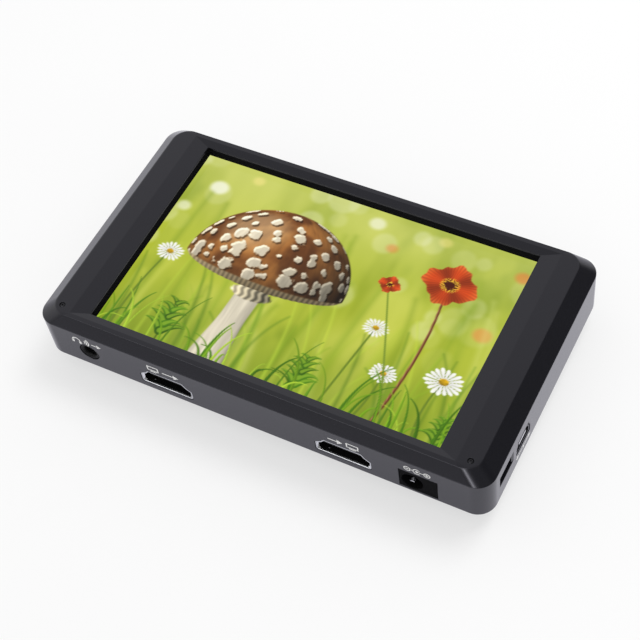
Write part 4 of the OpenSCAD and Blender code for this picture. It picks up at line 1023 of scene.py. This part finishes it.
def arrow(start, end, width, head):
    """Flat outlines of an arrow: its shaft and its three-sided head."""
    start = np.asarray(start, float)
    end = np.asarray(end, float)
    along = (end - start) / np.linalg.norm(end - start)
    side = np.array([-along[1], along[0]])
    neck = end - along * head
    return [bar(start, neck, width), np.array([neck - side * head * 0.62, end, neck + side * head * 0.62])]


def frame_outlines(at, half_x, half_y, width):
    """Flat outlines of the four sides of a rectangle."""
    x, y = at
    sides = [bar((x - half_x - width / 2, y + s * half_y), (x + half_x + width / 2, y + s * half_y), width)
             for s in (-1, 1)]
    return sides + [
        bar((x + s * half_x, y - half_y + width / 2), (x + s * half_x, y + half_y - width / 2), width)
        for s in (-1, 1)]


def headphones(at):
    """Headphones: a bow over two cups."""
    x, y = at
    cups = [np.array([(x + s * 0.72, y - 1.1), (x + s * 1.45, y - 1.1), (x + s * 1.45, y + 0.05),
                      (x + s * 0.72, y + 0.05)])[::s] for s in (-1, 1)]
    return [ring_segment((x, y - 0.12), 1.12, 0.38, 0, 180), *cups]


def small_screen(at):
    """Screen on a foot."""
    x, y = at
    foot = bar((x - 0.9, y - 1.05), (x + 0.9, y - 1.05), 0.34)
    return frame_outlines((x, y + 0.2), 1.5, 0.75, 0.34) + [foot]


def waves(at):
    """Sound: three arcs that grow to the right. They stay above the jack's hole."""
    return [ring_segment(at, radius, 0.34, -48, 48) for radius in (0.65, 1.2, 1.75)]


def polarity(at):
    """Centre-positive mark: minus and plus in rings, joined to a broken ring with a dot."""
    x, y = at
    wide = 0.26
    shapes = [ring_segment((x + s * 2.55, y), 0.78, wide, 0, 359.9, 32) for s in (-1, 1)]
    shapes += [bar((x + s * 2.55 - 0.4, y), (x + s * 2.55 + 0.4, y), wide) for s in (-1, 1)]
    shapes += [bar((x + 2.55, y + s * 0.13), (x + 2.55, y + s * 0.4), wide) for s in (-1, 1)]
    shapes += [bar((x - 1.77, y), (x - 1.0, y), wide), bar((x + 0.3, y), (x + 1.77, y), wide)]
    return shapes + [ring_segment((x, y), 1.0, wide, 48, 312), disc((x, y), 0.42)]


def print_marks(name, flat, low, high, plane="XZ", body="monitor", slot="housing_paint"):
    """Printed marks: flat outlines made solid between two heights, so that the ink stands proud."""
    place(name, together([prism(shape, low, high, plane) for shape in flat]), "pad_print_ink", slot,
          body=body)


class MONITOR_OT_prints(Operator):
    """Printed marks beside the ports"""

    bl_idname = "monitor.prints"
    bl_label = "Port marks"

    def execute(self, context):
        level, thin, line = FRONT_Z - 6.3, 0.34, 0.36
        jack, out, entry, power = (middle(node)[0] for node in (
            "headphone_jack", "video_out_shell", "video_in_shell", "power_socket"))
        flat = headphones((jack - 2.9, level)) + waves((jack - 0.9, level + 0.35))
        flat += arrow((jack + 1.7, level + 0.3), (jack + 4.6, level + 0.3), thin, 1.3)
        flat += small_screen((out - 2.9, level)) + arrow((out - 0.2, level), (out + 4.6, level), line, 1.5)
        flat += arrow((entry - 3.6, level), (entry + 0.4, level), line, 1.5)
        flat += small_screen((entry + 3.0, level)) + polarity((power, level + 0.4))
        print_marks("port_marks", flat, -BODY_Y - 0.02, -BODY_Y + 0.05)
        at_y, at_z = middle("service_shell")[1], FRONT_Z - 13.6
        flat = []
        for side in (-1, 1):
            flat += arrow((at_y + side * 0.3, at_z), (at_y + side * 4.4, at_z), thin, 1.3)
        flat.append(disc((at_y, at_z), 0.6))
        print_marks("service_mark", flat, BODY_X - 0.05, BODY_X + 0.02, "YZ")
        return {"FINISHED"}


# ---- keys ----

# Section of a key from the middle of its top to its foot: how far in from its outline and how far behind
# its face, in mm. Its collar lies inside the housing's wall.
COLLAR = 2.4
KEY_ROWS = ((2.49, 0.06), (0.9, 0.05), (0.55, 0.02), (0.32, 0.03), (0.14, 0.12), (0.04, 0.26),
            (0.0, 0.45), (0.0, COLLAR), (-0.9, COLLAR), (-0.9, COLLAR + 1), (1.2, COLLAR + 1))
KEY_NAMES = ("power", "input", "left", "menu", "right", "assist")


def key_icon(name, x, z):
    """Flat outlines of a key's mark."""
    if name == "power":
        return [ring_segment((x, z), 0.72, 0.2, 125, 415), bar((x, z + 0.1), (x, z + 0.95), 0.2)]
    if name == "input":
        return frame_outlines((x + 0.3, z), 0.75, 0.7, 0.18) + arrow((x - 1.5, z), (x + 0.2, z), 0.18, 0.6)
    if name == "left":
        return [np.array([(x + 0.6, z - 0.75), (x + 0.6, z + 0.75), (x - 0.7, z)])]
    if name == "menu":
        return [bar((x - 0.8, z + d), (x + 0.8, z + d), 0.2) for d in (-0.55, 0, 0.55)]
    if name == "right":
        return [np.array([(x - 0.6, z - 0.75), (x + 0.7, z), (x - 0.6, z + 0.75)])]
    brackets = []
    for s, t in ((-1, -1), (-1, 1), (1, -1), (1, 1)):
        brackets.append(bar((x + s * 0.95, z + t * 0.7), (x + s * 0.4, z + t * 0.7), 0.18))
        brackets.append(bar((x + s * 0.86, z + t * 0.7), (x + s * 0.86, z + t * 0.25), 0.18))
    return brackets + [disc((x, z), 0.2)]


class MONITOR_OT_keys(Operator):
    """Six keys with their marks, and the light beside the power key"""

    bl_idname = "monitor.keys"
    bl_label = "Keys"

    def execute(self, context):
        for name in KEY_NAMES:
            node = f"key_{name}"
            low, high = corners(node)
            x, _, z = (low + high) / 2
            half_x, _, half_z = (high - low) / 2
            face = high[1]
            rings = []
            for inset, depth in KEY_ROWS:
                flat = outline(half_x - 0.9 - inset * 0.98, max(0.02, half_z - 0.9 - inset * 0.6),
                               max(0.015, min(1.5, half_z - 0.95 - inset * 0.6)), 10)
                at_y = np.full(len(flat), face - depth)
                rings.append(np.stack([x + flat[:, 0], at_y, z + flat[:, 1]], -1))
            stem, foot = low[1], face - COLLAR - 0.95
            shank = lathe([(1.05, stem), (1.2, stem + 0.15), (1.2, foot)], 32, "Y", (x, 0, z))
            place(f"{node}_finish", together([skin(rings), shank]), "key_rubber", "key_black", node,
                  even=True)
            print_marks(f"{node}_mark", key_icon(name, x, z), face - 0.055, face - 0.02,
                        body=body_of(node), slot="key_black")
            dress(f"plunger_{name}", "natural_nylon", "plunger_ivory")
        refined("light_pipe", "frosted_acrylic", "clear_light", 0.2, segments=3)
        return {"FINISHED"}


# ---- screws, insert, plate and release ----


class MONITOR_OT_screws(Operator):
    """Screws, with their drives"""

    bl_idname = "monitor.screws"
    bl_label = "Screws"

    def execute(self, context):
        at_x, at_y = bezel_screw()
        low, top = corners("bezel_screws")[0][2], FRONT_Z - 0.08
        head, neck, tip = in_mm(context.scene.monitor_bezel).screw_radius, 0.6, 0.45
        shape = [(AXIS, low), (tip, low), (neck, low + 0.3), (neck, top - 0.7), (head, top - 0.7),
                 (head, top - 0.2), (head - 0.04, top - 0.1), (head - 0.14, top - 0.03),
                 (head - 0.28, top), (AXIS, top)]
        for at, label in ((-at_x, "left"), (at_x, "right")):
            socket = built(*prism(disc((at, -at_y), 0.27, 6), top - 0.22, top + 1))
            screw = carved(built(*lathe(shape, at=(at, -at_y, 0))), [socket])
            place(f"bezel_screw_{label}", screw, "black_oxide_steel", "black_screw", "bezel_screws",
                  even=True)
        refined("housing_screws", "black_oxide_steel", "black_screw", 0.08)
        refined("plate_screws", "stainless_steel", "steel_screw", 0.1)
        for node in ("tray_screws", "board_screws", "latch_screws"):
            dress(node, "stainless_steel", "steel_screw")
        return {"FINISHED"}


THREAD_CORE, THREAD_CREST, THREAD_PITCH, THREAD_DEPTH = 2.6, 0.42, 1.27, 6.5  # mm, quarter inch


class MONITOR_OT_tripod_insert(Operator):
    """Brass insert with its quarter inch thread"""

    bl_idname = "monitor.tripod_insert"
    bl_label = "Tripod insert"

    def execute(self, context):
        (low_x, low_y, low_z), (high_x, high_y, high_z) = corners("tripod_insert")
        at_y, at_z, outer = (low_y + high_y) / 2, (low_z + high_z) / 2, (high_y - low_y) / 2
        turn = np.linspace(0, 2 * math.pi, 72, endpoint=False)
        core, deep = THREAD_CORE, THREAD_DEPTH
        rings = [(outer, high_x - low_x), (outer, 0.25), (outer - 0.05, 0.1), (outer - 0.25, 0.0),
                 (core + 0.75, 0.0), (core + 0.5, 0.12)]
        # Thread: the core's radius plus the crest times a triangle wave of the depth in pitches less the
        # turn, which rises from nothing at its ends
        for depth in np.arange(0.25, deep, THREAD_PITCH / 10):
            wave = np.abs(((depth / THREAD_PITCH - turn / (2 * math.pi)) % 1) * 2 - 1)
            rise = min(1.0, (depth - 0.2) / 0.6, (deep - depth) / 0.6 + 0.05)
            rings.append((core + THREAD_CREST * np.clip(wave * 1.15 - 0.08, 0, 1) * rise, depth))
        rings += [(core - 0.15, deep), (0.05, deep + 0.02)]
        shaped = [np.stack([np.full(len(turn), low_x + depth), at_y + radius * np.cos(turn),
                            at_z + radius * np.sin(turn)], -1) for radius, depth in rings]
        place("tripod_insert_finish", skin(shaped), "turned_brass", "insert_brass", "tripod_insert")
        return {"FINISHED"}


class MONITOR_OT_battery_plate(Operator):
    """Battery plate and its contacts"""

    bl_idname = "monitor.battery_plate"
    bl_label = "Battery plate"

    def execute(self, context):
        refined("battery_plate", "textured_abs", "plate_black", 0.14)
        refined("battery_contacts", "gold_plate", "gold_contact", 0.12)
        return {"FINISHED"}


class MONITOR_OT_release(Operator):
    """Battery release: lever, spring and cap"""

    bl_idname = "monitor.release"
    bl_label = "Battery release"

    def execute(self, context):
        refined("release_lever", "textured_abs", "key_black", 0.12)
        refined("latch_cover", "textured_abs", "plate_black", 0.15)
        spring = refined("release_spring", "spring_wire", "spring_steel", 0.02, angle=80)
        seat = corners("latch_cover")[1][2] - 0.8
        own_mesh(spring)
        return {"FINISHED"}


class MONITOR_OT_inside(Operator):
    """Pieces inside the housing"""

    bl_idname = "monitor.inside"
    bl_label = "Inner pieces"

    def execute(self, context):
        for node, finish, slot in (
                ("backlight", "diffuser_sheet", "light_guide"), ("lcd_tray", "tinned_steel", "tinned_steel"),
                ("lcd_flex", "polyimide_film", "flex_film"),
                ("flex_connector", "natural_nylon", "connector_ivory"),
                ("main_board", "solder_mask", "board_green"), ("processor", "moulded_epoxy", "chip_black"),
                ("heat_sink", "anodised_aluminium", "sink_aluminium"),
                ("board_parts", "moulded_epoxy", "chip_black"),
                ("key_switches", "moulded_epoxy", "chip_black"),
                ("status_led", "natural_nylon", "connector_ivory"),
                ("battery_leads", "soft_pvc", "lead_vinyl"),
                ("lead_socket", "natural_nylon", "connector_ivory")):
            dress(node, finish, slot)
        return {"FINISHED"}


# ---- stage ----


class StageSizes(PropertyGroup):
    """Camera and light."""

    lens: FloatProperty(
        name="Lens", description="Focal length on a sensor 36 mm wide", default=81.9, unit="CAMERA")
    softbox: FloatProperty(
        name="Softbox", description="Brightness of the front softbox in reflections", default=7.5, min=0)
    top_power: FloatProperty(
        name="Top light", description="Power of the overhead light", default=5.5, min=0, unit="POWER")
    sky: share("Sky", "Strength of the studio's sky on dull surfaces", 0.7)
    floor_tone: share("Floor tone", "Reflectance of the floor", 0.9)
    floor_glow: share("Floor glow", "Share of plain white in the floor where it is seen", 0.6)


# Where reflections see a darker or brighter sky: the direction, the cosines to it at which this starts
# and is full, and the level there. A dim place low in front, two dark ones on the right, and a bright one
# above in front.
SKY_SPOTS = (
    ((-0.30, -0.95, 0.05), 0.75, 0.96, 0.62), ((0.78, 0.52, 0.35), 0.7, 0.94, 0.12),
    ((0.86, -0.44, 0.25), 0.55, 0.92, 0.25), ((-0.24, -0.6, 0.76), 0.91, 0.985, 4.0))
OVERHEAD = (0.7, 0.95, 0.6)  # the same for the sky overhead
STRIP_ACROSS, STRIP_AHEAD = ((0.976, 0.216, 0),), ((0.216, -0.976, 0),)  # across and towards the softbox


def studio_world(tree, sky, softbox):
    """Sky of the studio. The camera sees white, dull surfaces get an even sky, and reflections see a white
    that is darker overhead and in some places, and a tall narrow softbox in front, which fades to both
    sides as a power of the distance from its middle line."""
    where = add(tree, "TexCoord").outputs["Generated"]
    height = add(tree, "SeparateXYZ", {0: where}).outputs[2]
    tone = 1.0
    cosines = [add(tree, "VectorMath", {0: where, 1: spot[0]}, operation="DOT_PRODUCT").outputs["Value"]
               for spot in (*SKY_SPOTS, STRIP_ACROSS, STRIP_AHEAD)]
    for value, (start, end, level) in zip((height, *cosines), (OVERHEAD, *(s[1:] for s in SKY_SPOTS))):
        spot = add(tree, "MapRange", {
            "Value": value, "From Min": start, "From Max": end, "To Min": 1.0, "To Max": level},
            interpolation_type="SMOOTHSTEP")
        tone = add(tree, "Math", {0: tone, 1: spot}, operation="MULTIPLY")
    aside = add(tree, "Math", {0: cosines[-2]}, operation="ABSOLUTE")
    strip = add(tree, "MapRange", {
        "Value": aside, "From Min": 0.0, "From Max": 0.5, "To Min": 1.0, "To Max": 0.0})
    strip = add(tree, "Math", {0: strip, 1: 5.0}, operation="POWER")
    for value, start, end, first in ((cosines[-1], 0.2, 0.45, 0.0), (height, 0.24, 0.33, 0.0),
                                     (height, 0.65, 0.45, 0.3)):
        limit = add(tree, "MapRange", {
            "Value": value, "From Min": start, "From Max": end, "To Min": first, "To Max": 1.0})
        strip = add(tree, "Math", {0: strip, 1: limit}, operation="MULTIPLY")
    tone = add(tree, "Math", {0: strip, 1: softbox, 2: tone}, operation="MULTIPLY_ADD")
    path = add(tree, "LightPath").outputs
    dull = add(tree, "Mix", {"Factor": path["Is Camera Ray"], "A": sky, "B": 1.0}, data_type="FLOAT")
    strength = add(tree, "Mix", {"Factor": path["Is Glossy Ray"], "A": dull, "B": tone}, data_type="FLOAT")
    back = add(tree, "Background", {"Color": (1, 1, 1, 1), "Strength": strength})
    add(tree, "OutputWorld", {"Surface": back})


def floor_paper(tree, tone, glow):
    """White paper of the floor: a dull white, which the camera and the reflections see with a share of
    plain white, as on a lit table. The object's shadow stays on it."""
    where = add(tree, "TexCoord").outputs["Object"]
    fibres = add(tree, "TexNoise", {"Vector": where, "Scale": 1 / (40 * MM)})
    shades = add(tree, "MapRange", {"Value": fibres, "To Min": tone - 0.01, "To Max": tone + 0.01})
    paper = add(tree, "BsdfDiffuse", {"Color": shades})
    path = add(tree, "LightPath").outputs
    # Sockets 0, 6 and 7 of a colour mix are its factor and its two colours
    white = add(tree, "Mix", {
        0: path["Is Glossy Ray"], 6: (1, 1, 1, 1), 7: (0.98, 0.97, 1.09, 1)}, data_type="RGBA").outputs[2]
    seen = add(tree, "MixShader", {
        0: glow, 1: paper, 2: add(tree, "Emission", {"Color": white, "Strength": 1.0})})
    shown = add(tree, "Math", {0: path["Is Camera Ray"], 1: path["Is Glossy Ray"]}, operation="MAXIMUM")
    shown = add(tree, "Math", {0: shown, 1: path["Is Transmission Ray"]}, operation="MAXIMUM")
    add(tree, "OutputMaterial", {"Surface": add(tree, "MixShader", {0: shown, 1: paper, 2: seen})})


# Camera as found from the photo's straight edges: its place in metres, and its axes
CAMERA_PLACE = (0.128498, -0.181302, 0.313090)
CAMERA_AXES = ((0.88474553, 0.45471453, -0.10227435), (-0.31925924, 0.75114658, 0.57779958),
               (0.33955689, -0.47855357, 0.80974539))
FLOOR_HALF = 3.0  # metres
LAMP_PLACE, LAMP_SIZE = (0.25, 0.45, 1.0), 0.5  # metres


class MONITOR_OT_stage(Operator):
    """Floor, light and camera"""

    bl_idname = "monitor.stage"
    bl_label = "Stage"

    def execute(self, context):
        stage = context.scene.monitor_stage
        floor = bpy.data.meshes.new("floor")
        corner = [(x * FLOOR_HALF, y * FLOOR_HALF, 0) for x, y in ((-1, -1), (1, -1), (1, 1), (-1, 1))]
        floor.from_pydata(corner, [], [(0, 1, 2, 3)])
        paper = bpy.data.materials.new("paper_floor")
        floor_paper(empty_tree(paper), stage.floor_tone, stage.floor_glow)
        floor.materials.append(paper)
        shown_object("floor", floor)
        world = bpy.data.worlds.new("studio")
        studio_world(empty_tree(world), stage.sky, stage.softbox)
        context.scene.world = world
        light = bpy.data.lights.new("top_light", "AREA")
        light.shape = "SQUARE"
        light.size = LAMP_SIZE
        light.energy = stage.top_power
        lamp = shown_object("top_light", light)
        lamp.location = LAMP_PLACE
        lamp.rotation_euler = (-Vector(LAMP_PLACE)).to_track_quat("-Z", "Y").to_euler()
        lamp.visible_glossy = lamp.visible_camera = False  # reflections see the sky instead
        lens = bpy.data.cameras.new("camera")
        lens.lens = stage.lens
        lens.sensor_width = 36
        lens.clip_start = 0.01
        camera = shown_object("camera", lens)
        turned = Matrix(CAMERA_AXES).transposed().to_4x4()
        camera.matrix_world = Matrix.Translation(CAMERA_PLACE) @ turned
        context.scene.camera = camera
        context.scene.view_settings.view_transform = "Standard"
        return {"FINISHED"}


# ---- panel and start ----

OPERATORS = (
    MONITOR_OT_stage, MONITOR_OT_bezel, MONITOR_OT_screen, MONITOR_OT_housing, MONITOR_OT_ports,
    MONITOR_OT_prints, MONITOR_OT_keys, MONITOR_OT_screws, MONITOR_OT_tripod_insert,
    MONITOR_OT_battery_plate, MONITOR_OT_release, MONITOR_OT_inside)
GROUPS = {"monitor_bezel": BezelSizes, "monitor_screen": ScreenSizes, "monitor_finishes": Finishes,
          "monitor_stage": StageSizes}


class MONITOR_PT_panel(Panel):
    """Lists the steps that finish the monitor"""

    bl_idname = "MONITOR_PT_panel"
    bl_label = "Field monitor"
    bl_space_type = "VIEW_3D"
    bl_region_type = "UI"
    bl_category = "Field monitor"

    def draw(self, context):
        for operator in OPERATORS:
            self.layout.operator(operator.bl_idname)
        for group, kind in GROUPS.items():
            for name in kind.__annotations__:
                self.layout.prop(getattr(context.scene, group), name)


def register():
    for group in GROUPS.values():
        bpy.utils.register_class(group)
    for name, group in GROUPS.items():
        setattr(bpy.types.Scene, name, PointerProperty(type=group))
    for kind in (*OPERATORS, MONITOR_PT_panel):
        bpy.utils.register_class(kind)


def unregister():
    for kind in (MONITOR_PT_panel, *reversed(OPERATORS)):
        bpy.utils.unregister_class(kind)
    for name, group in GROUPS.items():
        delattr(bpy.types.Scene, name)
        bpy.utils.unregister_class(group)


def main():
    """Makes the stage and every piece."""
    register()
    for operator in OPERATORS:
        group, name = operator.bl_idname.split(".")
        getattr(getattr(bpy.ops, group), name)()


if __name__ == "__main__":
    main()
